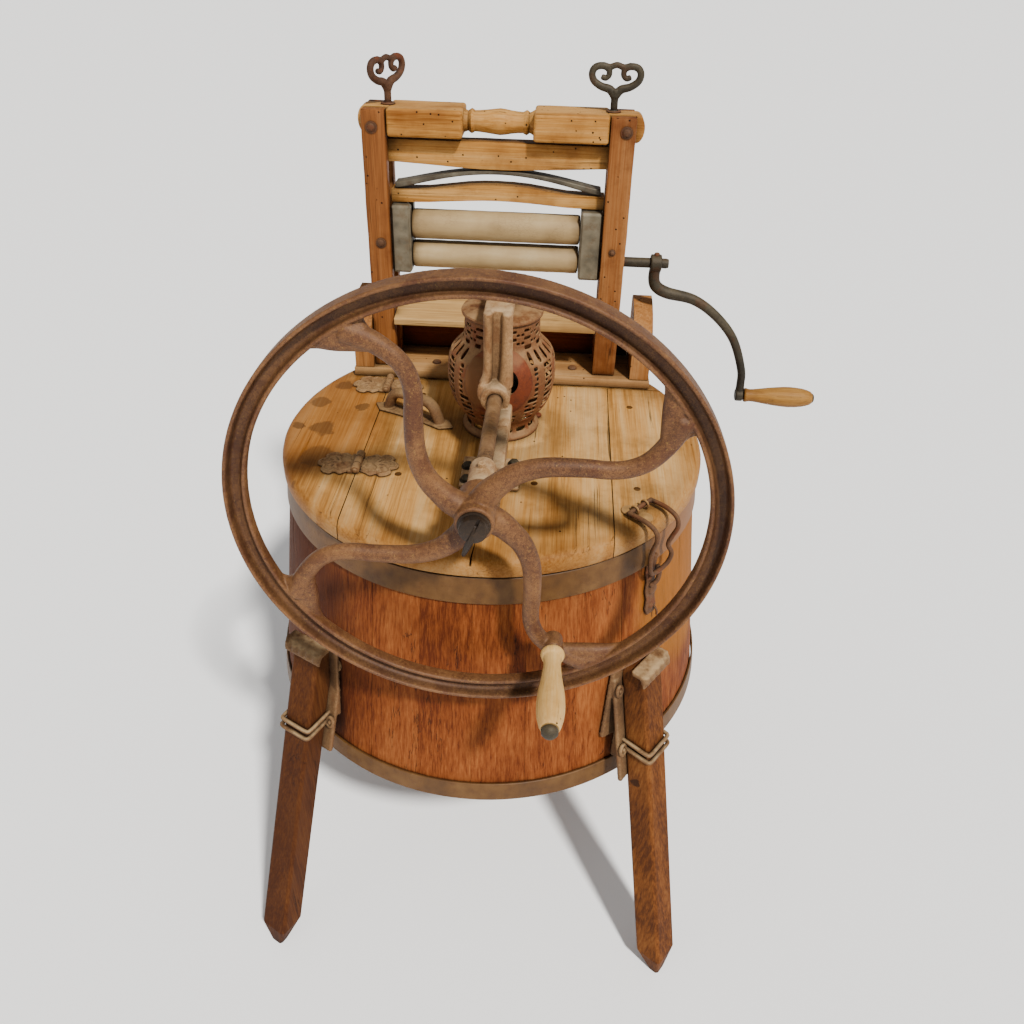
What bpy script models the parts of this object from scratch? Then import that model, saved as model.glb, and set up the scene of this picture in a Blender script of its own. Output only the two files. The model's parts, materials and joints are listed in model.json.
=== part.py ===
"""Hand washing machine with flywheel drive and wringer (mangle), metres, +Z up, floor at z = 0.

The tub axis is the Z axis. The flywheel faces -Y, the wringer stands at +Y, its crank is at +X.
"""
import math

import bmesh
import bpy
from mathutils import Matrix, Vector

# ---------------------------------------------------------------- driving dimensions
GAP = 0.0003                      # clearance kept between neighbouring pieces

TUB_TOP, TUB_BOTTOM = 0.6777, 0.290
TUB_R_TOP, TUB_R_BOTTOM, TUB_WALL = 0.311, 0.3545, 0.024
FLOOR_Z0, FLOOR_Z1, CROZE = 0.312, 0.334, 0.007
HOOP_T = 0.0035
HOOP_TOP_Z = (0.633, 0.673)
HOOP_BOTTOM_Z = (0.290, 0.3205)
ROUND = 48                        # facets around the tub

LID_R, LID_TOP, LID_T = 0.320, 0.706, 0.028
LID_SPLIT_X, LID_JOINT_X, LID_REAR_Y = -0.186, 0.180, 0.157

LEG_FOOT, LEG_HIP, LEG_HIP_Z = (0.297, -0.420), (0.240, -0.270), 0.45
LEG_TOP_Z, LEG_W, LEG_T, LEG_CHAMFER, LEG_TWIST = 0.490, 0.046, 0.042, 0.004, 12.5

DRIVE_X, DRIVE_Z = 0.010, 0.818   # flywheel axle, along Y
WHEEL_R, RIM_T = 0.287, 0.026
WHEEL_FRONT, WHEEL_BACK, SPOKE_Y = -0.385, -0.3585, -0.3705
AXLE_R, HUB_R = 0.010, 0.0245
SPOKE_RIM_ANGLE = 33.6
SPOKE = ((0.020, 34), (0.045, 25), (0.070, 18), (0.100, 7.5), (0.137, -4), (0.160, -9),
         (0.182, -11), (0.205, -10.3), (0.230, -7), (0.250, -3.3), (0.270, 0))
GRIP_RADIUS, GRIP_ANGLE = 0.216, -63.5

CASE_X, CASE_Y = DRIVE_X, 0.024   # gear casing and agitator axis, along Z
CASE_WALL = 0.0035
CASE = ((0.060, 0.7063), (0.060, 0.7135), (0.054, 0.7145), (0.053, 0.728), (0.0695, 0.750),
        (0.079, 0.775), (0.0815, 0.800), (0.080, 0.825), (0.077, 0.836), (0.069, 0.846),
        (0.060, 0.855), (0.0565, 0.866), (0.0555, 0.893))
SPINDLE_R, SPINDLE_TOP, SPINDLE_BOTTOM = 0.010, 0.951, 0.470
CROWN_TEETH, PINION_TEETH = 20, 9
MESH_R, MESH_DROP, TOOTH_UP, TOOTH_DOWN = 0.047, 0.02115, 0.0018, 0.0028

HINGE_X, HINGE_Z = -0.1858, 0.7117
HINGE_Y = (-0.118, 0.125)

LATCH_AZ, LATCH_R, LATCH_Z = 48.0, 0.290, 0.7140

PLATFORM_Z = (0.7063, 0.722)
STAND_Z = 0.7223
UP_L, UP_R = (-0.2153, -0.1786), (0.1530, 0.1911)
UP_FRONT, UP_REAR, UP_TOP = (0.170, 0.190), (0.222, 0.242), 1.139
MID_Y = 0.206                     # rollers, screws and rails share this plane
RAIL_Z = (1.099, 1.141)
SCREWS_X = (-0.179, 0.157)
ROLL_X = (-0.1475, 0.1182)
UPPER_Z, UPPER_R, LOWER_Z, LOWER_R = 0.960, 0.0235, 0.911, 0.022
SHAFT_R, JOURNAL_R = 0.008, 0.009
CRANK_END = (0.4125, 0.680)       # x and z of the crank grip bolt

for old in list(bpy.data.objects):
    bpy.data.objects.remove(old, do_unlink=True)


# ---------------------------------------------------------------- helpers
def material(name, colour, roughness, metallic=0.0):
    """One Principled material."""
    mat = bpy.data.materials.new(name)
    mat.use_nodes = True
    bsdf = mat.node_tree.nodes["Principled BSDF"]
    bsdf.inputs["Base Color"].default_value = (*colour, 1.0)
    bsdf.inputs["Roughness"].default_value = roughness
    bsdf.inputs["Metallic"].default_value = metallic
    mat.diffuse_color = (*colour, 1.0)
    return mat


MATS = {
    "stave_wood": ((0.28, 0.11, 0.04), 0.55, 0.0),
    "lid_wood": ((0.55, 0.34, 0.14), 0.6, 0.0),
    "leg_wood": ((0.20, 0.09, 0.035), 0.6, 0.0),
    "frame_wood": ((0.48, 0.24, 0.09), 0.6, 0.0),
    "grip_wood": ((0.50, 0.30, 0.13), 0.5, 0.0),
    "hoop_steel": ((0.20, 0.13, 0.06), 0.5, 0.8),
    "rusty_iron": ((0.13, 0.07, 0.045), 0.7, 0.7),
    "drive_iron": ((0.28, 0.17, 0.10), 0.65, 0.6),
    "case_iron": ((0.32, 0.13, 0.07), 0.7, 0.4),
    "crank_iron": ((0.10, 0.08, 0.05), 0.6, 0.7),
    "galvanised": ((0.22, 0.21, 0.16), 0.5, 0.8),
    "roller_rubber": ((0.48, 0.36, 0.19), 0.7, 0.0),
}


def finish(name, bm, slot, pivot=(0, 0, 0), smooth=True):
    """Turns a bmesh in world coordinates into a named object whose origin is the pivot."""
    bmesh.ops.recalc_face_normals(bm, faces=bm.faces)
    bmesh.ops.translate(bm, verts=bm.verts, vec=-Vector(pivot))
    mesh = bpy.data.meshes.new(name)
    bm.to_mesh(mesh)
    bm.free()
    obj = bpy.data.objects.new(name, mesh)
    bpy.context.scene.collection.objects.link(obj)
    obj.location = pivot
    if slot:
        mesh.materials.append(material(name + "_" + slot, *MATS[slot]))
    if smooth:
        mesh.shade_smooth()
        mesh.set_sharp_from_angle(angle=math.radians(35))
    return obj


def solid(bm):
    """Temporary object used as the second operand of a boolean."""
    return finish("operand", bm, None, smooth=False)


def combine(obj, operand, mode):
    """Applies one exact boolean and removes its operand."""
    bpy.context.view_layer.update()
    mod = obj.modifiers.new("bool", "BOOLEAN")
    mod.operation, mod.solver, mod.object = mode, "EXACT", operand
    bpy.context.view_layer.update()
    result = bpy.data.meshes.new_from_object(
        obj.evaluated_get(bpy.context.evaluated_depsgraph_get()))
    obj.modifiers.clear()
    old = obj.data
    result.name = old.name + "_b"
    obj.data = result
    bpy.data.meshes.remove(old)
    bpy.data.objects.remove(operand, do_unlink=True)
    return obj


def join(obj, *parts):
    for bm in parts:
        combine(obj, solid(bm), "UNION")
    return obj


def cut(obj, *parts):
    for bm in parts:
        combine(obj, solid(bm), "DIFFERENCE")
    return obj


def keep(obj, bm):
    return combine(obj, solid(bm), "INTERSECT")


def box(x, y, z, bevel=0.0):
    """Axis-aligned block from (min, max) pairs with an optional edge bevel."""
    bm = bmesh.new()
    bmesh.ops.create_cube(bm, size=1.0)
    size = Vector((x[1] - x[0], y[1] - y[0], z[1] - z[0]))
    mid = Vector(((x[0] + x[1]) / 2, (y[0] + y[1]) / 2, (z[0] + z[1]) / 2))
    bmesh.ops.scale(bm, verts=bm.verts, vec=size)
    bmesh.ops.translate(bm, verts=bm.verts, vec=mid)
    if bevel:
        bmesh.ops.bevel(bm, geom=bm.edges[:], offset=bevel, segments=1, affect="EDGES")
    return bm


def frame(axis, origin):
    """Matrix that takes local Z to the named axis at the origin."""
    rot = {"Z": Matrix.Identity(4), "Y": Matrix.Rotation(math.radians(-90), 4, "X"),
           "X": Matrix.Rotation(math.radians(90), 4, "Y")}[axis]
    return Matrix.Translation(Vector(origin)) @ rot


def lathe(profile, axis="Z", origin=(0, 0, 0), segments=24, closed=True, phase=0.0):
    """Revolves (radius, height) points; a closed profile makes a ring, an open one is capped."""
    bm = bmesh.new()
    rings = []
    for radius, height in profile:
        if radius < 1e-6:
            rings.append([bm.verts.new((0, 0, height))])
        else:
            rings.append([bm.verts.new((radius * math.cos(phase + 2 * math.pi * k / segments),
                                        radius * math.sin(phase + 2 * math.pi * k / segments),
                                        height)) for k in range(segments)])
    pairs = list(zip(rings, rings[1:] + rings[:1] if closed else rings[1:]))
    for low, high in pairs:
        for k in range(segments):
            n = (k + 1) % segments
            if len(low) == 1 and len(high) == 1:
                continue
            if len(low) == 1:
                bm.faces.new((low[0], high[k], high[n]))
            elif len(high) == 1:
                bm.faces.new((low[k], low[n], high[0]))
            else:
                bm.faces.new((low[k], low[n], high[n], high[k]))
    if not closed:
        for ring in (rings[0], rings[-1]):
            if len(ring) > 1:
                bm.faces.new(ring)
    bm.transform(frame(axis, origin))
    return bm


def rod(radius, low, high, axis="Z", origin=(0, 0, 0), segments=20, chamfer=0.0):
    """Cylinder between two heights along an axis, with optional chamfered ends."""
    if chamfer:
        profile = ((radius - chamfer, low), (radius, low + chamfer),
                   (radius, high - chamfer), (radius - chamfer, high))
    else:
        profile = ((radius, low), (radius, high))
    return lathe(profile, axis, origin, segments, closed=False)


def sweep(points, radii, sides=8, up=(0, 0, 1), loop=False, flat=1.0):
    """Tube through the points; flat scales the section along the up direction."""
    bm = bmesh.new()
    pts = [Vector(p) for p in points]
    if not isinstance(radii, (list, tuple)):
        radii = [radii] * len(pts)
    rings = []
    count = len(pts)
    for i, point in enumerate(pts):
        before = pts[i - 1] if (i or loop) else point
        after = pts[(i + 1) % count] if (i < count - 1 or loop) else point
        tangent = (after - before).normalized()
        side = tangent.cross(Vector(up)).normalized()
        lift = side.cross(tangent).normalized()
        ring = []
        for k in range(sides):
            a = 2 * math.pi * (k + 0.5) / sides
            ring.append(bm.verts.new(point + radii[i] * (math.cos(a) * side
                                                         + flat * math.sin(a) * lift)))
        rings.append(ring)
    last = rings[1:] + rings[:1] if loop else rings[1:]
    for low, high in zip(rings, last):
        for k in range(sides):
            n = (k + 1) % sides
            bm.faces.new((low[k], low[n], high[n], high[k]))
    if not loop:
        bm.faces.new(rings[0])
        bm.faces.new(rings[-1])
    return bm


def loft(rings):
    """Closes a stack of equal point rings into a solid."""
    bm = bmesh.new()
    made = [[bm.verts.new(p) for p in ring] for ring in rings]
    for low, high in zip(made, made[1:]):
        for k in range(len(low)):
            n = (k + 1) % len(low)
            bm.faces.new((low[k], low[n], high[n], high[k]))
    bm.faces.new(made[0])
    bm.faces.new(made[-1])
    return bm


def plate(outline, low, high, axis="Z"):
    """Extrudes a 2-D outline; axis Z uses (x, y), Y uses (x, z), X uses (y, z)."""
    place = {"Z": lambda a, b, c: (a, b, c), "Y": lambda a, b, c: (a, c, b),
             "X": lambda a, b, c: (c, a, b)}[axis]
    return loft([[place(a, b, c) for a, b in outline] for c in (low, high)])


def wall_r(z):
    """Outer radius of the tapered tub at a height."""
    return TUB_R_TOP + (TUB_R_BOTTOM - TUB_R_TOP) * (TUB_TOP - z) / (TUB_TOP - TUB_BOTTOM)


def tub_clearance():
    """Solid a little larger than the tub and its two hoops, for fitting pieces to the wall."""
    c = 0.0005
    h = HOOP_T + 0.0006
    z0, z1 = HOOP_BOTTOM_Z[1] + c, HOOP_TOP_Z[0] - c
    z2 = HOOP_TOP_Z[1] + c
    profile = ((wall_r(0.25) + h, 0.25), (wall_r(z0) + h, z0), (wall_r(z0) + c, z0 + 0.0001),
               (wall_r(z1) + c, z1), (wall_r(z1) + h, z1 + 0.0001), (wall_r(z2) + h, z2),
               (wall_r(z2) + c, z2 + 0.0001), (wall_r(0.677) + c, 0.677))
    return lathe(profile, segments=ROUND, closed=False)


# ---------------------------------------------------------------- tub
def inner(z):
    return wall_r(z) - TUB_WALL


finish("tub_staves", lathe((
    (wall_r(TUB_TOP), TUB_TOP), (wall_r(TUB_BOTTOM), TUB_BOTTOM), (inner(TUB_BOTTOM), TUB_BOTTOM),
    (inner(FLOOR_Z0), FLOOR_Z0 - GAP), (inner(FLOOR_Z0) + CROZE, FLOOR_Z0 - GAP),
    (inner(FLOOR_Z1) + CROZE, FLOOR_Z1 + GAP), (inner(FLOOR_Z1), FLOOR_Z1 + GAP),
    (inner(TUB_TOP), TUB_TOP)), segments=ROUND), "stave_wood")
FLOOR_R = inner(FLOOR_Z1) + CROZE - 2 * GAP
finish("tub_floor", rod(FLOOR_R, FLOOR_Z0, FLOOR_Z1, segments=ROUND), "stave_wood")
for name, (z0, z1) in (("hoop_top", HOOP_TOP_Z), ("hoop_bottom", HOOP_BOTTOM_Z)):
    finish(name, lathe(((wall_r(z0) + GAP, z0), (wall_r(z0) + HOOP_T, z0),
                        (wall_r(z1) + HOOP_T, z1), (wall_r(z1) + GAP, z1)), segments=ROUND),
           "hoop_steel")


# ---------------------------------------------------------------- legs and leg irons
def leg_ring(spin, mirror, z, side, out, shift=0.0, chamfer=LEG_CHAMFER, slide=0.0):
    """Chamfered rectangle around the leg centre line; slide moves it towards the tub's middle."""
    t = z / LEG_HIP_Z
    cx = mirror * (LEG_FOOT[0] + (LEG_HIP[0] - LEG_FOOT[0]) * t)
    cy = LEG_FOOT[1] + (LEG_HIP[1] - LEG_FOOT[1]) * t
    az = math.atan2(mirror * LEG_HIP[0], -LEG_HIP[1]) + math.radians(LEG_TWIST)
    e_out = Vector((math.sin(az), -math.cos(az), 0))
    e_side = Vector((math.cos(az), math.sin(az), 0))
    mid = Vector((cx, cy, z)) + shift * e_out - mirror * slide * e_side
    c = chamfer
    corners = ((side - c, out), (side, out - c), (side, -out + c), (side - c, -out),
               (-side + c, -out), (-side, -out + c), (-side, out - c), (-side + c, out))
    turn = Matrix.Rotation(spin, 3, "Z")
    return [turn @ (mid + a * e_side + b * e_out) for a, b in corners]


def leg_solid(spin, mirror, grow=0.0):
    rings = [leg_ring(spin, mirror, 0.0 - grow, 0.010 + grow, 0.008 + grow, chamfer=0.003),
             leg_ring(spin, mirror, 0.036, LEG_W / 2 + grow, LEG_T / 2 + grow),
             leg_ring(spin, mirror, LEG_TOP_Z + grow, LEG_W / 2 + grow, LEG_T / 2 + grow)]
    return loft(rings)


def strap(spin, mirror, z):
    """Wire loop from the wall plate around the outside of the leg and back."""
    ring = [(-1, -1.0), (-1, 0.7), (-0.8, 1.0), (0.8, 1.0), (1, 0.7), (1, -1.0)]
    a, b = LEG_W / 2 + 0.0033, LEG_T / 2 + 0.0033
    pts = []
    for u, v in ring:
        four = leg_ring(spin, mirror, z, abs(u) * a, abs(v) * b + 1e-6, chamfer=0.0)
        pts.append(four[0 if (u > 0 and v > 0) else 2 if u > 0 else 6 if v > 0 else 4])
    return sweep(pts, 0.0025, sides=6)


def wall_solid(grow):
    """Tub cone enlarged by a constant amount."""
    return lathe(((wall_r(0.25) + grow, 0.25), (wall_r(0.62) + grow, 0.62)), segments=ROUND,
                 closed=False)


def leg_block(spin, mirror, z0, z1, side, back, front, chamfer=0.001, slide=0.0):
    """Block around the leg line; back and front are distances from the leg centre."""
    return loft([leg_ring(spin, mirror, z, side, (front + back) / 2, shift=(front - back) / 2,
                          chamfer=chamfer, slide=slide) for z in (z0, z1)])


for name, spin, mirror in (("fl", 0, -1), ("fr", 0, 1), ("rl", math.pi, 1), ("rr", math.pi, -1)):
    leg = finish("leg_" + name, leg_solid(spin, mirror), "leg_wood")
    cut(leg, wall_solid(0.0079))
    iron = finish("leg_iron_" + name, leg_block(spin, mirror, 0.372, LEG_TOP_Z + 0.0145,
                                                LEG_W / 2 + 0.0080, 0.085, 0.010, slide=0.0075),
                  "rusty_iron")
    keep(iron, wall_solid(0.0075))
    join(iron, leg_block(spin, mirror, 0.318, LEG_TOP_Z - 0.020, LEG_W / 2 + 0.0112,
                         LEG_T / 2 + 0.0066, -LEG_T / 2 + 0.001, slide=0.0041),
         leg_block(spin, mirror, 0.3263, 0.4217, 0.0125, 0.0877, -LEG_T / 2 - 0.0023, slide=0.0012),
         leg_block(spin, mirror, LEG_TOP_Z + 0.0015, LEG_TOP_Z + 0.0075, LEG_W / 2 + 0.012,
                         0.055, 0.027, 0.002),
         leg_block(spin, mirror, LEG_TOP_Z - 0.012, LEG_TOP_Z + 0.0065, LEG_W / 2 + 0.0110,
                   -0.0222, 0.0268),
         strap(spin, mirror, 0.366), strap(spin, mirror, 0.378))
    cut(iron, leg_solid(spin, mirror, grow=0.0004), tub_clearance())


# ---------------------------------------------------------------- lid boards
def lid_disc():
    return lathe(((LID_R, LID_TOP - LID_T), (LID_R, LID_TOP - 0.004), (LID_R - 0.004, LID_TOP)),
                 segments=64, closed=False)


SPAN = (-0.4, 0.4)
fixed = finish("lid_fixed_boards", lid_disc(), "lid_wood")
cut(fixed, box((LID_SPLIT_X, 0.4), (-0.4, LID_REAR_Y), (0.6, 0.8)))
LID_PIVOT = (HINGE_X, 0.0, HINGE_Z)
for name, x0, x1 in (("lid_board_main", LID_SPLIT_X + 0.0006, LID_JOINT_X - 0.0003),
                     ("lid_board_right", LID_JOINT_X + 0.0003, 0.4)):
    board = finish(name, lid_disc(), "lid_wood")
    keep(board, box((x0, x1), (-0.4, LID_REAR_Y - 0.0006), (0.6, 0.8)))
    if name == "lid_board_main":
        cut(board, rod(SPINDLE_R + 0.003, 0.6, 0.8, origin=(CASE_X, CASE_Y, 0)))
    board.data.transform(Matrix.Translation(-Vector(LID_PIVOT)))
    board.location = LID_PIVOT
for name, y in (("lid_batten_front", -0.140), ("lid_batten_rear", 0.095)):
    finish(name, box((-0.165, 0.235), (y - 0.022, y + 0.022), (0.6555, LID_TOP - LID_T - GAP), 0.003),
           "lid_wood", LID_PIVOT)


# ---------------------------------------------------------------- lid hinges, lifting handle, latch
def leaf_outline(y, sign):
    """Scalloped leaf outline on one side of the hinge line."""
    pts = [(0.0055, -0.024), (0.020, -0.030), (0.030, -0.021), (0.042, -0.027), (0.052, -0.014),
           (0.046, -0.006), (0.060, 0.0), (0.046, 0.006), (0.052, 0.014), (0.042, 0.027),
           (0.030, 0.021), (0.020, 0.030), (0.0055, 0.024)]
    return [(HINGE_X + sign * a, y + b) for a, b in pts]


LEAF_Z = (LID_TOP + GAP, LID_TOP + 0.0033)
for label, y in zip(("front", "rear"), HINGE_Y):
    still = finish("hinge_fixed_" + label, plate(leaf_outline(y, -1), *LEAF_Z), "rusty_iron")
    for y0, y1 in ((y - 0.024, y - 0.0085), (y + 0.0085, y + 0.024)):
        join(still, rod(0.005, y0, y1, "Y", (HINGE_X, 0, HINGE_Z), 12),
             box((HINGE_X - 0.008, HINGE_X), (y0, y1), (LEAF_Z[0], HINGE_Z - 0.001)))
    join(still, rod(0.0022, y - 0.0245, y + 0.0245, "Y", (HINGE_X, 0, HINGE_Z), 12))
    moving = finish("hinge_moving_" + label, plate(leaf_outline(y, 1), *LEAF_Z), "rusty_iron")
    join(moving, rod(0.005, y - 0.008, y + 0.008, "Y", (HINGE_X, 0, HINGE_Z), 12),
         box((HINGE_X, HINGE_X + 0.008), (y - 0.008, y + 0.008), (LEAF_Z[0], HINGE_Z - 0.001)))
    cut(moving, rod(0.0026, y - 0.02, y + 0.02, "Y", (HINGE_X, 0, HINGE_Z), 12))
    moving.data.transform(Matrix.Translation(-Vector(LID_PIVOT)))
    moving.location = LID_PIVOT

HANDLE = ((-0.172, 0.066), (-0.084, 0.004))
ends = [Vector((x, y, 0)) for x, y in HANDLE]
arch = [ends[0].lerp(ends[1], t) + Vector((0, 0, LID_TOP + 0.005 + 0.030 * h)) for t, h in
        ((0.02, 0.0), (0.05, 0.45), (0.14, 0.82), (0.30, 0.97), (0.5, 1.0), (0.70, 0.97), (0.86, 0.82),
         (0.95, 0.45), (0.98, 0.0))]
handle = finish("lid_handle", sweep(arch, [0.008, 0.006, 0.006, 0.007, 0.0075, 0.007, 0.006, 0.006,
                                           0.008], up=(0.58, 0.82, 0)), "rusty_iron", LID_PIVOT)
handle.location = (0, 0, 0)
handle.data.transform(Matrix.Translation(Vector(LID_PIVOT)))
for e in ends:
    join(handle, rod(0.015, LID_TOP + GAP, LID_TOP + 0.006, origin=e, segments=16, chamfer=0.0015))
handle.data.transform(Matrix.Translation(-Vector(LID_PIVOT)))
handle.location = LID_PIVOT


def latch(t, r, z):
    """World point from tangential offset, radius and height at the latch."""
    az = math.radians(LATCH_AZ)
    return Vector((r * math.sin(az) + t * math.cos(az), -r * math.cos(az) + t * math.sin(az), z))


def latch_box(t, r, z):
    return loft([[latch(a, b, c) for a, b in ((t[0], r[0]), (t[1], r[0]), (t[1], r[1]), (t[0], r[1]))]
                 for c in z])


base = None
for t in (-0.0105, 0.0105):
    washer = rod(0.0118, LID_TOP + GAP, LID_TOP + 0.0030, origin=(*latch(t, LATCH_R, 0)[:2], 0),
                 segments=16, chamfer=0.0006)
    knuckle = sweep([latch(t - 0.0045, LATCH_R, LATCH_Z), latch(t + 0.0045, LATCH_R, LATCH_Z)],
                    0.0066, sides=12)
    base = join(base, washer) if base else finish("latch_plate", washer, "rusty_iron")
    join(base, knuckle)
cut(base, sweep([latch(-0.03, LATCH_R, LATCH_Z), latch(0.03, LATCH_R, LATCH_Z)], 0.0039, sides=12))
base.data.transform(Matrix.Translation(-Vector(LID_PIVOT)))
base.location = LID_PIVOT
BAIL = ((-0.021, LATCH_R, LATCH_Z), (-0.021, 0.318, LATCH_Z + 0.0025), (-0.021, 0.334, 0.7110),
        (-0.021, 0.3385, 0.698), (-0.020, 0.333, 0.680), (-0.020, 0.3295, 0.664),
        (-0.019, 0.3335, 0.648), (-0.013, 0.3325, 0.638), (0.013, 0.3325, 0.638),
        (0.019, 0.3335, 0.648), (0.020, 0.3295, 0.664), (0.020, 0.333, 0.680),
        (0.021, 0.3385, 0.698), (0.021, 0.334, 0.7110), (0.021, 0.318, LATCH_Z + 0.0025),
        (0.021, LATCH_R, LATCH_Z))
finish("latch_bail", sweep([latch(*p) for p in BAIL], 0.0034, sides=6, loop=True,
                           up=(0.31, -0.22, 0.6)), "rusty_iron", tuple(latch(0, LATCH_R, LATCH_Z)))
hook = finish("latch_hook", latch_box((-0.011, 0.011), (0.300, 0.3245), (0.570, 0.660)), "rusty_iron")
join(hook, latch_box((-0.006, 0.006), (0.322, 0.3284), (0.6475, 0.6520)))
cut(hook, tub_clearance())


# ---------------------------------------------------------------- gear casing
def case_shell():
    outer = list(CASE)
    skin = [(r - CASE_WALL, z) for r, z in reversed(outer)]
    return lathe(outer + skin, origin=(CASE_X, CASE_Y, 0), segments=24)


def front_disc(radius, y1=-0.02):
    return rod(radius, -0.12, y1, "Y", (DRIVE_X, 0, 0.812), 20)


casing = finish("gear_casing", case_shell(), "case_iron")
cut(casing, front_disc(0.0500))
cover = finish("casing_cover", case_shell(), "case_iron")
keep(cover, front_disc(0.0496))
cut(cover, rod(0.0150, -0.12, -0.02, "Y", (DRIVE_X + 0.004, 0, DRIVE_Z), 20))
cap = finish("casing_cap", lathe(((0.0110, 0.8933), (0.0595, 0.8933), (0.0605, 0.897), (0.0575, 0.902),
                                  (0.0110, 0.907)), origin=(CASE_X, CASE_Y, 0),
                                 segments=24), "case_iron")
for piece in (casing, cover, cap):
    piece.data.transform(Matrix.Translation(-Vector(LID_PIVOT)))
    piece.location = LID_PIVOT

# ---------------------------------------------------------------- drive bracket (yoke)
ARM_X, ARM_Y = (-0.009, 0.031), (-0.098, -0.072)
bracket = finish("drive_bracket", box((0.0045, 0.0175), (ARM_Y[0] + 0.007, ARM_Y[1]), (0.825, 0.935)),
                 "drive_iron")
join(bracket,
     box((ARM_X[0], ARM_X[0] + 0.014), ARM_Y, (0.828, 0.940), 0.003),
     box((ARM_X[1] - 0.014, ARM_X[1]), ARM_Y, (0.822, 0.940), 0.003),
     box(ARM_X, (ARM_Y[0], CASE_Y), (0.922, 0.944), 0.004),
     rod(0.021, -0.110, -0.068, "Y", (DRIVE_X, 0, DRIVE_Z), 24, 0.002),
     rod(0.023, 0.915, 0.947, origin=(CASE_X, CASE_Y, 0), segments=24, chamfer=0.002),
     rod(0.0168, -0.326, -0.276, "Y", (DRIVE_X, 0, DRIVE_Z), 24, 0.0015),
     box((0.014, 0.034), (-0.318, -0.085), (0.782, 0.8055), 0.003),
     box((0.001, 0.032), (-0.316, -0.284), (0.788, 0.812), 0.003),
     box((0.016, 0.030), (-0.152, -0.100), (0.710, 0.790), 0.002),
     box((-0.036, 0.050), (-0.166, -0.088), (LID_TOP + GAP, 0.7145), 0.002))
cut(bracket, rod(AXLE_R + GAP, -0.34, -0.05, "Y", (DRIVE_X, 0, DRIVE_Z), 24),
    rod(SPINDLE_R + GAP, 0.90, 1.0, origin=(CASE_X, CASE_Y, 0), segments=24))
bracket.data.transform(Matrix.Translation(-Vector(LID_PIVOT)))
bracket.location = LID_PIVOT

# ---------------------------------------------------------------- flywheel and its drive line
DRIVE = (DRIVE_X, -0.365, DRIVE_Z)


def polar(radius, degrees, y=SPOKE_Y):
    a = math.radians(degrees)
    return (DRIVE_X + radius * math.cos(a), y, DRIVE_Z + radius * math.sin(a))


RIM = ((WHEEL_R, WHEEL_BACK + 0.001), (WHEEL_R, WHEEL_FRONT + 0.001), (WHEEL_R - 0.002, WHEEL_FRONT),
       (WHEEL_R - 0.007, WHEEL_FRONT + 0.002), (WHEEL_R - 0.009, WHEEL_FRONT + 0.012),
       (WHEEL_R - 0.016, WHEEL_FRONT + 0.012), (WHEEL_R - 0.019, WHEEL_FRONT + 0.004),
       (WHEEL_R - 0.025, WHEEL_FRONT + 0.006), (WHEEL_R - RIM_T, WHEEL_FRONT + 0.014),
       (WHEEL_R - 0.024, WHEEL_BACK - 0.004), (WHEEL_R - 0.016, WHEEL_BACK))
wheel = finish("flywheel", lathe(RIM, "Y", (DRIVE_X, 0, DRIVE_Z), 48), "rusty_iron")
THICK = [0.0150, 0.0140, 0.0125, 0.0115, 0.0108, 0.0105, 0.0105, 0.0108, 0.0115, 0.0130, 0.0140]
hub = solid(rod(HUB_R, -0.396, -0.336, "Y", (DRIVE_X, 0, DRIVE_Z), 24, 0.002))
for k in range(4):
    spoke = [polar(r, SPOKE_RIM_ANGLE + 90 * k + a) for r, a in SPOKE]
    join(hub, sweep(spoke, THICK, sides=6, up=(0, 1, 0), flat=0.9))
combine(wheel, hub, "UNION")
GRIP = polar(GRIP_RADIUS, GRIP_ANGLE)
join(wheel, rod(0.0140, -0.3845, -0.3592, "Y", (GRIP[0], 0, GRIP[2]), 16, 0.001))
cut(wheel, rod(AXLE_R + GAP, -0.41, -0.32, "Y", (DRIVE_X, 0, DRIVE_Z), 24),
    rod(0.0053, -0.39, -0.34, "Y", (GRIP[0], 0, GRIP[2]), 12))
wheel.data.transform(Matrix.Translation(-Vector(DRIVE)))
wheel.location = DRIVE
finish("axle", rod(AXLE_R, -0.401, -0.012, "Y", (DRIVE_X, 0, DRIVE_Z), 24, 0.001), "drive_iron", DRIVE)

finish("grip_bolt", lathe(((0.0050, -0.3595), (0.0050, -0.5083), (0.0095, -0.5083), (0.0100, -0.513),
                           (0.0060, -0.518)), "Y", (GRIP[0], 0, GRIP[2]), 16, closed=False),
       "crank_iron", DRIVE)
GRIP_PROFILE = ((0.0112, 0.000), (0.0128, 0.004), (0.0105, 0.012), (0.0102, 0.022), (0.0130, 0.045),
                (0.0165, 0.070), (0.0172, 0.087), (0.0150, 0.106), (0.0112, 0.1188))
BORE = 0.0054
finish("wheel_grip", lathe([(BORE, -0.3890)] + [(r, -0.3890 - s) for r, s in GRIP_PROFILE]
                           + [(BORE, -0.5078)], "Y", (GRIP[0], 0, GRIP[2]), 20),
       "grip_wood", (GRIP[0], -0.45, GRIP[2]))


# bevel pair: the pitch cones meet on the crossing point of the two axes
def pinion():
    rings = []
    for dist in (MESH_R - 0.011, MESH_R + 0.010):
        scale = dist / MESH_R
        low, high = (MESH_DROP - TOOTH_DOWN) * scale, (MESH_DROP + TOOTH_UP) * scale
        ring = []
        for k in range(PINION_TEETH):
            for off, r in ((-0.30, low), (-0.12, high), (0.12, high), (0.30, low)):
                a = 2 * math.pi * (k + off) / PINION_TEETH
                ring.append((DRIVE_X + r * math.sin(a), CASE_Y - dist, DRIVE_Z + r * math.cos(a)))
        rings.append(ring)
    return loft(rings)


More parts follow.
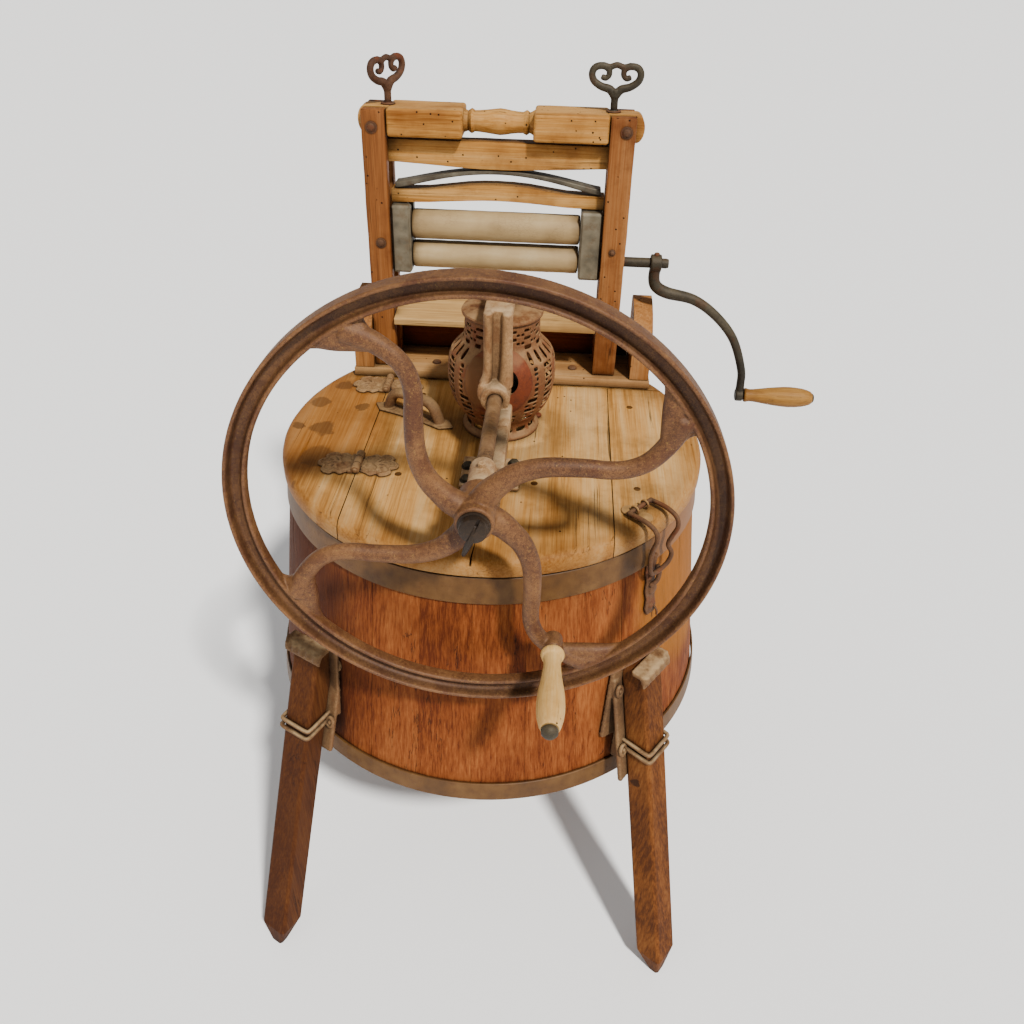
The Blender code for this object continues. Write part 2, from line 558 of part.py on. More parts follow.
def crown():
    teeth = []
    for k in range(CROWN_TEETH):
        for off, up in ((-0.28, 0), (-0.12, 1), (0.12, 1), (0.28, 0)):
            teeth.append((2 * math.pi * (k + off) / CROWN_TEETH - math.pi / 2, up))
    rings = []
    for dist, base in ((MESH_R - 0.011, 0.778), (MESH_R - 0.011, None), (MESH_R + 0.010, None),
                       (MESH_R + 0.010, 0.778)):
        scale = dist / MESH_R
        ring = []
        for a, up in teeth:
            drop = MESH_DROP + (-TOOTH_UP if up else TOOTH_DOWN)
            z = base if base else DRIVE_Z - drop * scale
            ring.append((CASE_X + dist * math.cos(a), CASE_Y + dist * math.sin(a), z))
        rings.append(ring)
    bm = bmesh.new()
    made = [[bm.verts.new(p) for p in ring] for ring in rings]
    for low, high in zip(made, made[1:] + made[:1]):
        for k in range(len(low)):
            n = (k + 1) % len(low)
            bm.faces.new((low[k], low[n], high[n], high[k]))
    return bm


gear = finish("bevel_pinion", pinion(), "crank_iron")
cut(gear, rod(AXLE_R + GAP, -0.1, 0.1, "Y", (DRIVE_X, 0, DRIVE_Z), 24))
gear.data.transform(Matrix.Translation(-Vector(DRIVE)))
gear.location = DRIVE
AGITATOR = (CASE_X, CASE_Y, 0.780)
gear = finish("crown_gear", crown(), "crank_iron")
join(gear, rod(MESH_R - 0.010, 0.772, 0.7855, origin=(CASE_X, CASE_Y, 0), segments=24))
cut(gear, rod(SPINDLE_R + GAP, 0.7, 0.9, origin=(CASE_X, CASE_Y, 0), segments=24))
gear.data.transform(Matrix.Translation(-Vector(AGITATOR)))
gear.location = AGITATOR
finish("agitator_spindle", rod(SPINDLE_R, SPINDLE_BOTTOM, SPINDLE_TOP, origin=(CASE_X, CASE_Y, 0),
                               segments=24, chamfer=0.001), "drive_iron", AGITATOR)
dolly = finish("agitator_dolly", rod(0.115, 0.472, 0.500, origin=(CASE_X, CASE_Y, 0), segments=32,
                                     chamfer=0.004), "frame_wood")
join(dolly, rod(0.030, 0.495, 0.535, origin=(CASE_X, CASE_Y, 0), segments=20, chamfer=0.004))
for k in range(4):
    a = math.radians(45 + 90 * k)
    foot = (CASE_X + 0.085 * math.cos(a), CASE_Y + 0.085 * math.sin(a), 0)
    join(dolly, lathe(((0.010, 0.372), (0.014, 0.380), (0.017, 0.478)), origin=foot, segments=12,
                      closed=False))
cut(dolly, rod(SPINDLE_R + GAP, 0.45, 0.55, origin=(CASE_X, CASE_Y, 0), segments=24))
dolly.data.transform(Matrix.Translation(-Vector(AGITATOR)))
dolly.location = AGITATOR

# ---------------------------------------------------------------- wringer stand
finish("platform_board", box((-0.250, 0.250), (0.1575, 0.272), PLATFORM_Z, 0.002), "frame_wood")
CHEEK = ((0.160, STAND_Z), (0.262, STAND_Z), (0.262, 0.838), (0.250, 0.846), (0.232, 0.846),
         (0.180, 0.822), (0.160, 0.806))
for name, x0, x1 in (("cheek_left", -0.2475, -0.2158), ("cheek_right", 0.2158, 0.2475)):
    finish(name, plate(CHEEK, x0, x1, "X"), "frame_wood")
finish("back_board", box((-0.2150, 0.2150), (0.2500, 0.2640), (STAND_Z, 0.768), 0.0015), "frame_wood")
for side, xs in (("left", UP_L), ("right", UP_R)):
    for place, ys in (("front", UP_FRONT), ("rear", UP_REAR)):
        finish("upright_%s_%s" % (place, side), box(xs, ys, (STAND_Z, UP_TOP), 0.0015), "frame_wood")
DRIP = ((0.160, 0.802), (0.160, 0.814), (0.249, 0.826), (0.249, 0.814))
finish("drip_board", plate(DRIP, UP_L[1] + GAP, UP_R[0] - GAP, "X"), "lid_wood")

rail = finish("top_rail", box((UP_L[1] + GAP, -0.064), (0.1705, 0.2415), RAIL_Z, 0.004), "frame_wood")
join(rail, box((0.040, UP_R[0] - GAP), (0.1705, 0.2415), RAIL_Z, 0.004))
TURNED = ((0.0100, -0.075), (0.0205, -0.070), (0.0180, -0.062), (0.0150, -0.058), (0.0185, -0.053),
          (0.0155, -0.048), (0.0170, -0.030), (0.0195, -0.012), (0.0170, 0.006), (0.0155, 0.024),
          (0.0185, 0.029), (0.0150, 0.034), (0.0180, 0.038), (0.0205, 0.046), (0.0100, 0.051))
join(rail, lathe(TURNED, "X", (0, MID_Y, 1.1205), 16, closed=False))


def tongue(x0, x1, outer):
    """Rail end between the uprights, half round at its outer end."""
    mid, r = (RAIL_Z[0] + RAIL_Z[1]) / 2, (RAIL_Z[1] - RAIL_Z[0]) / 2
    pts = []
    for k in range(9):
        a = math.radians(-90 + 180 * k / 8)
        pts.append((outer + (1 if outer > 0 else -1) * (0.6 * r * math.cos(a) - 0.6 * r), mid + r * math.sin(a)))
    if outer < 0:
        pts = pts + [(x1, RAIL_Z[1]), (x1, RAIL_Z[0])]
    else:
        pts = pts + [(x0, RAIL_Z[1]), (x0, RAIL_Z[0])]
    return plate(pts, UP_FRONT[1] + GAP, UP_REAR[0] - GAP, "Y")


join(rail, tongue(None, -0.150, -0.224), tongue(0.120, None, 0.205))
for x in SCREWS_X:
    cut(rail, rod(0.0066, 1.05, 1.2, origin=(x, MID_Y, 0), segments=16))

# ---------------------------------------------------------------- wringer pressure parts
BAR = ((-0.209, 1.060), (-0.12, 1.056), (-0.04, 1.0515), (0.02, 1.0515), (0.09, 1.056), (0.184, 1.060),
       (0.184, 1.0940), (-0.209, 1.0940))
finish("pressure_bar", plate(BAR, 0.1915, 0.2205, "Y"), "frame_wood", (0, MID_Y, 1.07))


def scroll(x, turn, mirror):
    """One ram's-horn curl of a screw head, in the plane turned about the screw axis."""
    pts = ((0.000, 1.168), (0.008, 1.173), (0.021, 1.176), (0.032, 1.183), (0.0355, 1.193),
           (0.031, 1.203), (0.021, 1.2055), (0.012, 1.200), (0.010, 1.191), (0.016, 1.186),
           (0.022, 1.190))
    c, s = math.cos(turn), math.sin(turn)
    return sweep([(x + mirror * a * c, MID_Y + mirror * a * s, z) for a, z in pts],
                 [0.0042] * 8 + [0.0036, 0.0034, 0.0042], sides=6, up=(-s, c, 0))


def bridge(x, turn):
    pts = ((-0.020, 1.2050), (-0.010, 1.2030), (0.0, 1.2060), (0.010, 1.2030), (0.020, 1.2050))
    c, s = math.cos(turn), math.sin(turn)
    return sweep([(x + a * c, MID_Y + a * s, z) for a, z in pts], 0.0034, sides=6, up=(-s, c, 0))


for side, x, turn in (("left", SCREWS_X[0], 0.9), ("right", SCREWS_X[1], 0.0)):
    screw = finish("screw_" + side, lathe(((0.0060, 1.0943), (0.0060, 1.1500), (0.0048, 1.1540),
                                           (0.0044, 1.1710)), origin=(x, MID_Y, 0), segments=16,
                                          closed=False), "crank_iron")
    join(screw, scroll(x, turn, 1), scroll(x, turn, -1), bridge(x, turn))
    pivot = Vector((x, MID_Y, 1.10))
    screw.data.transform(Matrix.Translation(-pivot))
    screw.location = pivot


def arc_strip(points, thickness, y0, y1):
    """Bent strip: points along its lower face, constant vertical thickness."""
    low = list(points)
    high = [(x, z + thickness) for x, z in reversed(low)]
    return plate(low + high, y0, y1, "Y")


SPRING_X = [-0.172 + 0.0319 * k for k in range(11)]
SPRING = [(x, 1.0183 + 0.0289 * (1 - ((x + 0.0125) / 0.1595) ** 2) ** 1.3) for x in SPRING_X]
finish("leaf_spring", arc_strip(SPRING, 0.0040, 0.194, 0.218), "galvanised", (0, MID_Y, 1.0183))

ARCH = [(-0.1783, 0.9972), (-0.12, 0.9985), (-0.06, 1.0030), (-0.0125, 1.0045), (0.035, 1.0030),
        (0.095, 0.9985), (0.1527, 0.9972), (0.1527, 1.0178), (0.095, 1.0185), (0.035, 1.0270),
        (-0.0125, 1.0290), (-0.06, 1.0270), (-0.12, 1.0185), (-0.1783, 1.0178)]
yoke = finish("spring_bar", plate(ARCH, 0.192, 0.220, "Y"), "frame_wood")
for x in (-0.163, 0.1355):
    join(yoke, box((x - 0.009, x + 0.009), (0.1985, 0.2135), (0.9696, 1.005)))
yoke.data.transform(Matrix.Translation(-Vector((0, MID_Y, 1.0))))
yoke.location = (0, MID_Y, 1.0)

for side, x0, x1 in (("left", UP_L[1] + GAP, -0.1480), ("right", 0.1187, UP_R[0] - GAP)):
    block = finish("bearing_" + side, box((x0, x1), (0.178, 0.234), (0.886, 0.9955), 0.003),
                   "galvanised")
    cut(block, rod(0.0097, x0 - 0.01, x1 + 0.01, "X", (0, MID_Y, LOWER_Z), 16),
        rod(0.0097, x0 - 0.01, x1 + 0.01, "X", (0, MID_Y, UPPER_Z), 16),
        box((x0 - 0.01, x1 + 0.01), (MID_Y - 0.0097, MID_Y + 0.0097), (UPPER_Z, 1.02)))

UPPER = (-0.015, MID_Y, UPPER_Z)
LOWER = (-0.015, MID_Y, LOWER_Z)
x0, x1 = ROLL_X
finish("upper_roller", lathe(((JOURNAL_R, -0.174), (JOURNAL_R, x0), (UPPER_R - 0.001, x0),
                              (UPPER_R, x0 + 0.002), (UPPER_R, x1 - 0.002), (UPPER_R - 0.001, x1),
                              (JOURNAL_R, x1), (JOURNAL_R, 0.148)), "X", (0, MID_Y, UPPER_Z), 24,
                             closed=False), "roller_rubber", UPPER)
finish("lower_roller", lathe(((SHAFT_R + GAP, x0), (LOWER_R - 0.001, x0), (LOWER_R, x0 + 0.002),
                              (LOWER_R, x1 - 0.002), (LOWER_R - 0.001, x1), (SHAFT_R + GAP, x1)),
                             "X", (0, MID_Y, LOWER_Z), 24), "roller_rubber", LOWER)
finish("crank_shaft", rod(SHAFT_R, -0.174, 0.264, "X", (0, MID_Y, LOWER_Z), 20, 0.001),
       "crank_iron", LOWER)

# ---------------------------------------------------------------- wringer crank
CURVE = ((0.2435, 0.905), (0.2430, 0.885), (0.2480, 0.871), (0.2640, 0.8610), (0.3060, 0.8500),
         (0.3450, 0.8230), (0.3810, 0.7830), (0.4060, 0.7300), (0.4110, 0.7000), (0.4110, 0.6800))
crank = finish("crank_arm", sweep([(x, MID_Y, z) for x, z in CURVE],
                                  [0.0090, 0.0090, 0.0085, 0.0080, 0.0075, 0.0072, 0.0070, 0.0070,
                                   0.0075, 0.0075], up=(0, 1, 0)), "crank_iron")
join(crank, rod(0.0140, 0.2345, 0.2525, "X", (0, MID_Y, LOWER_Z), 20, 0.001),
     rod(0.0110, 0.4045, 0.4175, "X", (0, MID_Y, CRANK_END[1]), 16, 0.001),
     rod(0.0048, 0.4100, 0.5395, "X", (0, MID_Y, CRANK_END[1]), 12))
cut(crank, rod(SHAFT_R + GAP, 0.22, 0.27, "X", (0, MID_Y, LOWER_Z), 20))
crank.data.transform(Matrix.Translation(-Vector(LOWER)))
crank.location = LOWER
CRANK_GRIP = ((0.0105, 0.000), (0.0125, 0.004), (0.0110, 0.012), (0.0125, 0.028), (0.0165, 0.058),
              (0.0178, 0.078), (0.0160, 0.100), (0.0120, 0.114), (0.0095, 0.1180))
finish("crank_grip", lathe([(0.0052, 0.4185)] + [(r, 0.4185 + s) for r, s in CRANK_GRIP]
                           + [(0.0052, 0.5365)], "X", (0, MID_Y, CRANK_END[1]), 20),
       "grip_wood", (0.47, MID_Y, CRANK_END[1]))
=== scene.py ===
"""Looks of the hand washing machine with mangle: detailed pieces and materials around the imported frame."""
import colorsys
import json
import math

import bmesh
import bpy
from mathutils import Matrix, Vector, noise


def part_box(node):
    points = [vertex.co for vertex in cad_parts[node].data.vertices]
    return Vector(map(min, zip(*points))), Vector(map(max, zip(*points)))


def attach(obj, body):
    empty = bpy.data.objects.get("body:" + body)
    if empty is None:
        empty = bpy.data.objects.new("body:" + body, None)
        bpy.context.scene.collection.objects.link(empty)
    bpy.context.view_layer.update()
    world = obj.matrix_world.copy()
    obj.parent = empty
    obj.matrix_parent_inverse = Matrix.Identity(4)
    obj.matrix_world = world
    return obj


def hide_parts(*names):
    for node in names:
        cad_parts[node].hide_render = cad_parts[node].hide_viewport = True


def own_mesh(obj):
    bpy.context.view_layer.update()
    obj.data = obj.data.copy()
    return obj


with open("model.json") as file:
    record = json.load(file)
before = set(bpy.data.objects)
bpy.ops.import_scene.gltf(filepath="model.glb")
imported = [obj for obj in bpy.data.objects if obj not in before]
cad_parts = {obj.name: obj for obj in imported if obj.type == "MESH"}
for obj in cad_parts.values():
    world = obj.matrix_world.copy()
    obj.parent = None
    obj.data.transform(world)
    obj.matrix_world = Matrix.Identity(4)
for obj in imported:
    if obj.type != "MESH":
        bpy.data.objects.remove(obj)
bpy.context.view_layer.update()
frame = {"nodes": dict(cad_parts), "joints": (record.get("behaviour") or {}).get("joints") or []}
JOINT = {j["name"]: j for j in frame["joints"]}

# ---------------------------------------------------------------- dimensions shared with the frame, in metres
TUB_R_TOP, TUB_R_BOTTOM, TUB_WALL = 0.311, 0.3545, 0.024
TUB_BOTTOM, TUB_TOP = (c.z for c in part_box("tub_staves"))
LID_R, LID_TOP, LID_BOTTOM = 0.32, 0.706, 0.678
LID_SPLIT_X, LID_JOINT_X, LID_REAR_Y = -0.186, 0.18, 0.157
LEG_FOOT, LEG_HIP, LEG_HIP_Z = (0.297, -0.42), (0.24, -0.27), 0.45
LEG_TOP_Z, LEG_W, LEG_T, LEG_TWIST = 0.49, 0.046, 0.042, 12.5
DRIVE_X, _, DRIVE_Z = JOINT["axle_spin"]["pos_m"]
CASE_X, CASE_Y, _ = JOINT["agitator_spin"]["pos_m"]
HINGE_X, _, HINGE_Z = JOINT["lid_hinge"]["pos_m"]
GRIP_X, _, GRIP_Z = JOINT["wheel_grip_spin"]["pos_m"]
_, MID_Y, LOWER_Z = JOINT["crank_turn"]["pos_m"]
UPPER_Z = JOINT["upper_roll"]["pos_m"][2]
CRANK_END_Z = JOINT["crank_grip_spin"]["pos_m"][2]
LATCH_AZ, LATCH_R, LATCH_Z = 48.0, 0.29, JOINT["bail_swing"]["pos_m"][2]
AXIS_TIP = 0.0002                         # radius at which an open turned profile is closed by a disc

# ---------------------------------------------------------------- material settings
SATURATE, DEEPEN = 1.08, 0.62             # applied to every material colour
WORM_CELLS = 92.0                         # possible worm holes along one metre
WOOD_BUMP, IRON_PIT, BAND_BUMP = (0.7, 0.0011), (0.8, 0.0008), (0.4, 0.0006)  # strength and depth
# the last three colours go into crevices found by ambient occlusion: dirt and painted shade together
CRACK_DIRT, WOOD_DIRT_AND_SHADE, RUBBER_DIRT_AND_SHADE, BAND_DIRT_AND_SHADE = (25, 14, 8), (24, 13, 7), (60, 42, 26), (35, 24, 15)
OPEN_AO, SHUT_AO = 0.95, 0.35             # ambient light on an open face and in a crevice
TINT_RAGGED = 0.03                        # how far the border of a local tint wanders


# ---------------------------------------------------------------- node helpers
def srgb(r, g, b):
    """Surface colour from 0-255 display values, deepened for the strong studio light."""
    linear = [(c / 255 / 12.92) if c < 11 else ((c / 255 + 0.055) / 1.055) ** 2.4 for c in (r, g, b)]
    hue, saturation, value = colorsys.rgb_to_hsv(*linear)
    return colorsys.hsv_to_rgb(hue, min(0.97, saturation * SATURATE), value * DEEPEN) + (1,)


class Shader:
    """A small writer for one procedural material."""

    def __init__(self, name):
        self.mat = bpy.data.materials.new(name)
        self.mat.use_nodes = True
        self.tree = self.mat.node_tree
        self.bsdf = self.tree.nodes["Principled BSDF"]
        self.object = self.node("TexCoord").outputs["Object"]

    def node(self, kind, sockets=None, **props):
        n = self.tree.nodes.new("ShaderNode" + kind)
        for key, value in props.items():
            setattr(n, key, value)
        for key, value in (sockets or {}).items():
            self.put(n.inputs[key], value)
        return n

    def put(self, socket, value):
        if isinstance(value, bpy.types.NodeSocket):
            self.tree.links.new(value, socket)
        else:
            socket.default_value = value

    def scaled(self, scale, shift=(0, 0, 0), vector=None):
        return self.node("Mapping", {"Vector": vector or self.object, "Scale": scale,
                                     "Location": shift}).outputs[0]

    def noise(self, scale, detail=4, rough=0.55, vector=None, distort=0.0):
        return self.node("TexNoise", {"Vector": vector or self.object, "Scale": scale, "Detail": detail,
                                      "Roughness": rough, "Distortion": distort}).outputs["Fac"]

    def math(self, op, *values):
        n = self.node("Math", operation=op)
        for socket, value in zip(n.inputs, values):
            self.put(socket, value)
        return n.outputs[0]

    def both(self, a, b):
        return self.math("MULTIPLY", a, b)

    def total(self, *terms, centred=(), shift=0.0):
        """Sum of value times weight; a centred value counts from 0.5."""
        result = shift - sum(0.5 * weight for _, weight in centred)
        for value, weight in terms + tuple(centred):
            result = self.math("MULTIPLY_ADD", value, weight, result)
        return result

    def step(self, fac, low, high):
        """0 below low, 1 above high, smooth between; reversed when low is above high."""
        return self.node("MapRange", {"Value": fac, "From Min": low, "From Max": high}, clamp=True,
                         interpolation_type="SMOOTHSTEP").outputs["Result"]

    def ramp(self, fac, *stops):
        n = self.node("ValToRGB", {"Fac": fac})
        ends = n.color_ramp.elements
        while len(ends) < len(stops):
            ends.new(0.5)
        for element, (pos, tint) in zip(ends, stops):
            element.position, element.color = pos, srgb(*tint)
        return n.outputs["Color"]

    def lay(self, colour, mask, amount, tint):
        """The colour, with a tint laid over it where the mask is 1."""
        n = self.node("Mix", data_type="RGBA", blend_type="MIX")
        for socket, value in ((0, self.both(mask, amount)), (6, colour), (7, srgb(*tint))):
            self.put(n.inputs[socket], value)
        return n.outputs[2]

    def part(self, vector, k):
        return self.node("SeparateXYZ", {"Vector": vector}).outputs[k]

    def crevice(self, distance):
        """1 in crevices, 0 on open faces, by ambient occlusion; the colour laid with it is dirt and painted shade."""
        ao = self.node("AmbientOcclusion", {"Distance": distance}, samples=4).outputs["AO"]
        return self.step(ao, OPEN_AO, SHUT_AO)

    def tint_near(self, colour, centre, inner, reach, strength, tint):
        """A tint within reach of a place, with an uneven border; inner leaves a ring."""
        far = self.node("VectorMath", operation="DISTANCE")
        self.put(far.inputs[0], self.object)
        far.inputs[1].default_value = centre
        distance = self.total((far.outputs["Value"], 1.0), centred=((self.noise(45, 5, 0.6), TINT_RAGGED),))
        disc = self.step(distance, reach, reach * 0.72)
        if inner:
            disc = self.both(disc, self.step(distance, inner * 0.8, inner))
        return self.lay(colour, disc, strength, tint)

    def finish(self, colour, rough, height, bump, metallic=0.0, specular=0.3):
        self.put(self.bsdf.inputs["Base Color"], colour)
        self.put(self.bsdf.inputs["Roughness"], rough)
        self.bsdf.inputs["Metallic"].default_value = metallic
        self.bsdf.inputs["Specular IOR Level"].default_value = specular
        strength, depth = bump
        uneven_skin = self.node("Bump", {"Strength": strength, "Distance": depth, "Height": height})
        self.put(self.bsdf.inputs["Normal"], uneven_skin.outputs[0])
        return self.mat


def wood(name, axis, dark, mid, light, rings=70, contrast=1.0, stain=0.5, stain_colour=(40, 25, 15),
         rough=(0.45, 0.75), worms=0.0, checks=0.5, spots=(), fibre=1.0, crevice=0.75):
    """Plain-sawn board: growth rings, streaks and pores along one axis, stains, checks and worm holes, local tints,
    and dirt with painted shade in crevices.
    """
    s = Shader(name)
    tone = s.node("Attribute", attribute_name="tone").outputs["Fac"]
    base = s.node("VectorMath", operation="MULTIPLY_ADD")
    for socket, value in zip(base.inputs, (tone, (3.7, 2.3, 1.9), s.object)):
        s.put(socket, value)

    def along(scale, detail, roughness, length, shift=(0, 0, 0), distort=0.0):
        """Noise drawn out along the grain."""
        stretch = tuple(length if k == "XYZ".index(axis) else 1 for k in range(3))
        return s.noise(scale, detail, roughness, s.scaled(stretch, shift, base.outputs[0]), distort)

    wobble = along(5, 3, 0.5, 0.35)
    streak = along(38, 8, 0.68, 0.035, distort=0.4)
    ring = along(rings / 9, 2, 0.4, 0.07, distort=0.6)
    bands = s.step(s.math("PINGPONG", s.math("MULTIPLY_ADD", ring, rings / 5, 0.5), 1.0), 0.15, 1.0)
    pores = along(420, 3, 0.6, 0.03)
    hair = along(235, 4, 0.72, 0.018, (2, 5, 3))
    fac = s.total((streak, 0.55 * contrast), (bands, 0.34 * contrast), shift=0.45 * (1.0 - contrast),
                  centred=((pores, 0.5 * fibre), (hair, 0.75 * fibre), (wobble, 0.5), (tone, 0.22)))
    colour = s.ramp(fac, (0.12, dark), (0.42, mid), (0.78, light))
    colour = s.lay(colour, s.step(s.noise(9, 7, 0.62), 0.46, 0.72), stain, stain_colour)
    colour = s.lay(colour, s.step(s.noise(55, 6, 0.7), 0.5, 0.75), 0.28, dark)
    line = s.math("ABSOLUTE", s.total(centred=((along(70, 4, 0.5, 0.012, (3, 1, 2)), 1.0),)))
    gate = s.step(along(16, 2, 0.5, 0.3, (5, 7, 1)), 0.52, 0.6)
    split = s.both(s.step(line, 0.01, 0.002), s.both(gate, checks))
    colour = s.lay(colour, split, 0.85, CRACK_DIRT)
    height = [(pores, 0.35), (bands, 0.25), (streak, 0.4), (hair, 0.7), (split, -1.2)]
    if worms:
        cell = s.node("TexVoronoi", {"Vector": s.object, "Scale": WORM_CELLS, "Randomness": 1.0})
        pick = s.node("SeparateColor", {"Color": cell.outputs["Color"]}).outputs[0]
        hole = s.both(s.step(cell.outputs["Distance"], 0.15, 0.1), s.step(pick, 1 - worms, 1 - worms + 0.02))
        colour = s.lay(colour, hole, 1.0, (30, 17, 9))
        height.append((hole, -1.5))
    for spot in spots:
        colour = s.tint_near(colour, *spot)
    # dirt and painted shade in crevices, by ambient occlusion
    colour = s.lay(colour, s.crevice(0.03), crevice, WOOD_DIRT_AND_SHADE)
    shine = s.math("MULTIPLY_ADD", s.noise(12, 4, 0.6), rough[1] - rough[0], rough[0])
    return s.finish(colour, shine, s.total(*height), WOOD_BUMP, specular=0.12)


def iron(name, dark, mid, light, dust=None, dust_amount=0.0, metallic=0.1, rough=(0.6, 0.9), speckle=1.0,
         flecks=None, patches=None, crevice=0.7, crevice_colour=(28, 16, 11), reach=0.022, stained=None):
    """Rusted or dusty casting: fine speckle over broad patches, pits, dust lying on upper faces, and dirt with
    painted shade in crevices.
    """
    s = Shader(name)
    broad = s.noise(13, 9, 0.62, distort=0.3)
    fine = s.noise(240, 6, 0.75)
    grit = s.noise(900, 2, 0.6)
    fac = s.total((broad, 0.62), (fine, 0.38 * speckle), centred=((grit, 0.35 * speckle),))
    colour = s.ramp(fac, (0.3, dark), (0.5, mid), (0.72, light))
    if patches:
        tint, low, strength = patches
        spot = s.step(s.noise(26, 8, 0.66, s.scaled((1, 1, 1), (4, 2, 7))), low, low + 0.09)
        colour = s.lay(colour, spot, strength, tint)
    if dust:
        up = s.part(s.node("TexCoord").outputs["Normal"], 2)
        lying = s.both(s.step(up, 0.1, 0.95), s.step(s.noise(30, 6, 0.6), 0.35, 0.6))
        colour = s.lay(colour, lying, dust_amount, dust)
    if flecks:
        fleck = s.step(s.noise(330, 4, 0.7, s.scaled((1, 1, 1), (9, 4, 2))), 0.6, 0.68)
        colour = s.lay(colour, fleck, 0.6, flecks)
    if stained:
        colour = s.tint_near(colour, *stained)
    # dirt and painted shade in crevices, by ambient occlusion
    colour = s.lay(colour, s.crevice(reach), crevice, crevice_colour)
    height = s.total((fine, 0.5), (s.noise(60, 5, 0.6), 0.6), (grit, 0.25))
    shine = s.math("MULTIPLY_ADD", fine, rough[1] - rough[0], rough[0])
    return s.finish(colour, shine, height, IRON_PIT, metallic)


def rubber(name):
    """Aged cream roller rubber: grime rings at the ends, crazing, faint scuffs along the roller, and dirt with
    painted shade in crevices.
    """
    s = Shader(name)
    scuff = s.noise(30, 6, 0.6, s.scaled((0.15, 1, 1)))
    cloud = s.noise(14, 5, 0.6)
    fac = s.total((scuff, 0.5), (cloud, 0.5))
    colour = s.ramp(fac, (0.3, (150, 122, 84)), (0.52, (196, 168, 124)), (0.72, (222, 200, 160)))
    craze = s.node("TexVoronoi", {"Vector": s.scaled((0.5, 1, 1)), "Scale": 260.0}, feature="DISTANCE_TO_EDGE")
    crack = s.both(s.step(craze.outputs["Distance"], 0.07, 0.02), s.step(s.noise(20, 3), 0.54, 0.66))
    colour = s.lay(colour, crack, 0.22, (96, 74, 48))
    x = s.part(s.object, 0)
    x0, x1 = (end.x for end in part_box("lower_roller"))
    edge = s.math("MINIMUM", s.math("SUBTRACT", x, x0), s.math("SUBTRACT", x1, x))
    grime = s.step(s.total((edge, 1.0), (s.noise(60, 4), 0.012)), 0.024, 0.004)
    colour = s.lay(colour, grime, 0.55, (92, 68, 42))
    # dirt and painted shade in crevices, by ambient occlusion
    colour = s.lay(colour, s.crevice(0.02), 0.5, RUBBER_DIRT_AND_SHADE)
    return s.finish(colour, 0.62, s.total((scuff, 0.5), (crack, -1.0)), (0.3, 0.0006))


def band_metal(name, dark, mid, light, rust, rust_amount=0.5, metallic=0.45, stretch=(1, 1, 1), stained=None):
    """Tarnished galvanised sheet: cloudy zinc flowers with rust bleeding through in patches, and dirt with painted
    shade in crevices.
    """
    s = Shader(name)
    cells = s.node("TexVoronoi", {"Vector": s.object, "Scale": 70.0}, feature="SMOOTH_F1").outputs["Distance"]
    fac = s.total((cells, 0.25), (s.noise(22, 8, 0.66, s.scaled(stretch)), 0.75))
    colour = s.ramp(fac, (0.28, dark), (0.48, mid), (0.7, light))
    spot = s.step(s.noise(60, 9, 0.72), 0.5, 0.66)
    colour = s.lay(colour, spot, rust_amount, rust)
    # optional local tint; on the top hoop it is a patch of painted light
    if stained:
        colour = s.tint_near(colour, *stained)
    # dirt and painted shade in crevices, by ambient occlusion
    colour = s.lay(colour, s.crevice(0.015), 0.7, BAND_DIRT_AND_SHADE)
    return s.finish(colour, 0.55, s.total((s.noise(160, 4, 0.7), 0.5), (spot, 0.4)), BAND_BUMP, metallic)


# ---------------------------------------------------------------- mesh helpers
def around(count):
    """Angles of count equal steps round a circle."""
    return [2 * math.pi * k / count for k in range(count)]


def skin(bm, rings, loop=False):
    """Faces between neighbouring rings of vertices; the end rings are capped, or joined to each other."""
    made = []
    for low, high in zip(rings, rings[1:] + (rings[:1] if loop else [])):
        for k in range(len(low)):
            n = (k + 1) % len(low)
            made.append(bm.faces.new((low[k], low[n], high[n], high[k])))
    if not loop:
        made += [bm.faces.new(rings[0]), bm.faces.new(rings[-1])]
    bmesh.ops.recalc_face_normals(bm, faces=made)
    return bm


def lathe(profile, axis="Z", origin=(0, 0, 0), segments=64, closed=True, arc=None):
    """Turned surface from (radius, position) pairs; a closed profile is a ring, an open one gets end discs.

    arc is the first and last angle, in degrees, of a surface that doesn't go all the way round.
    """
    place = {"Z": lambda r, p, c, s: (r * c, r * s, p), "Y": lambda r, p, c, s: (r * c, p, -r * s),
             "X": lambda r, p, c, s: (p, r * c, r * s)}[axis]
    if not closed:
        profile = [(AXIS_TIP, profile[0][1])] + list(profile) + [(AXIS_TIP, profile[-1][1])]
    start, stop = arc or (0, 360)
    turns = segments + 1 if arc else segments
    angles = [math.radians(start + (stop - start) * k / segments) for k in range(turns)]
    bm = bmesh.new()
    rings = [[bm.verts.new(Vector(place(r, p, math.cos(a), math.sin(a))) + Vector(origin)) for a in angles]
             for r, p in profile]
    return skin(bm, list(zip(*rings))) if arc else skin(bm, rings, closed)


def turned(profile, axis, origin, segments):
    return lathe(profile, axis, origin, segments, closed=False)


def curve(points, steps=6, loop=False):
    """Catmull-Rom curve through the points; a point may carry its radius as a fourth value."""
    n = len(points)
    get = (lambda k: points[k % n]) if loop else (lambda k: points[max(0, min(n - 1, k))])
    out = []
    for k in range(n if loop else n - 1):
        near = [get(k + d) for d in (-1, 0, 1, 2)]
        for j in range(steps):
            t = j / steps
            weights = (-0.5 * t + t * t - 0.5 * t ** 3, 1 - 2.5 * t * t + 1.5 * t ** 3,
                       0.5 * t + 2 * t * t - 1.5 * t ** 3, -0.5 * t * t + 0.5 * t ** 3)
            out.append(tuple(sum(w * q[i] for w, q in zip(weights, near)) for i in range(len(near[0]))))
    if not loop:
        out.append(tuple(points[-1]))
    return out


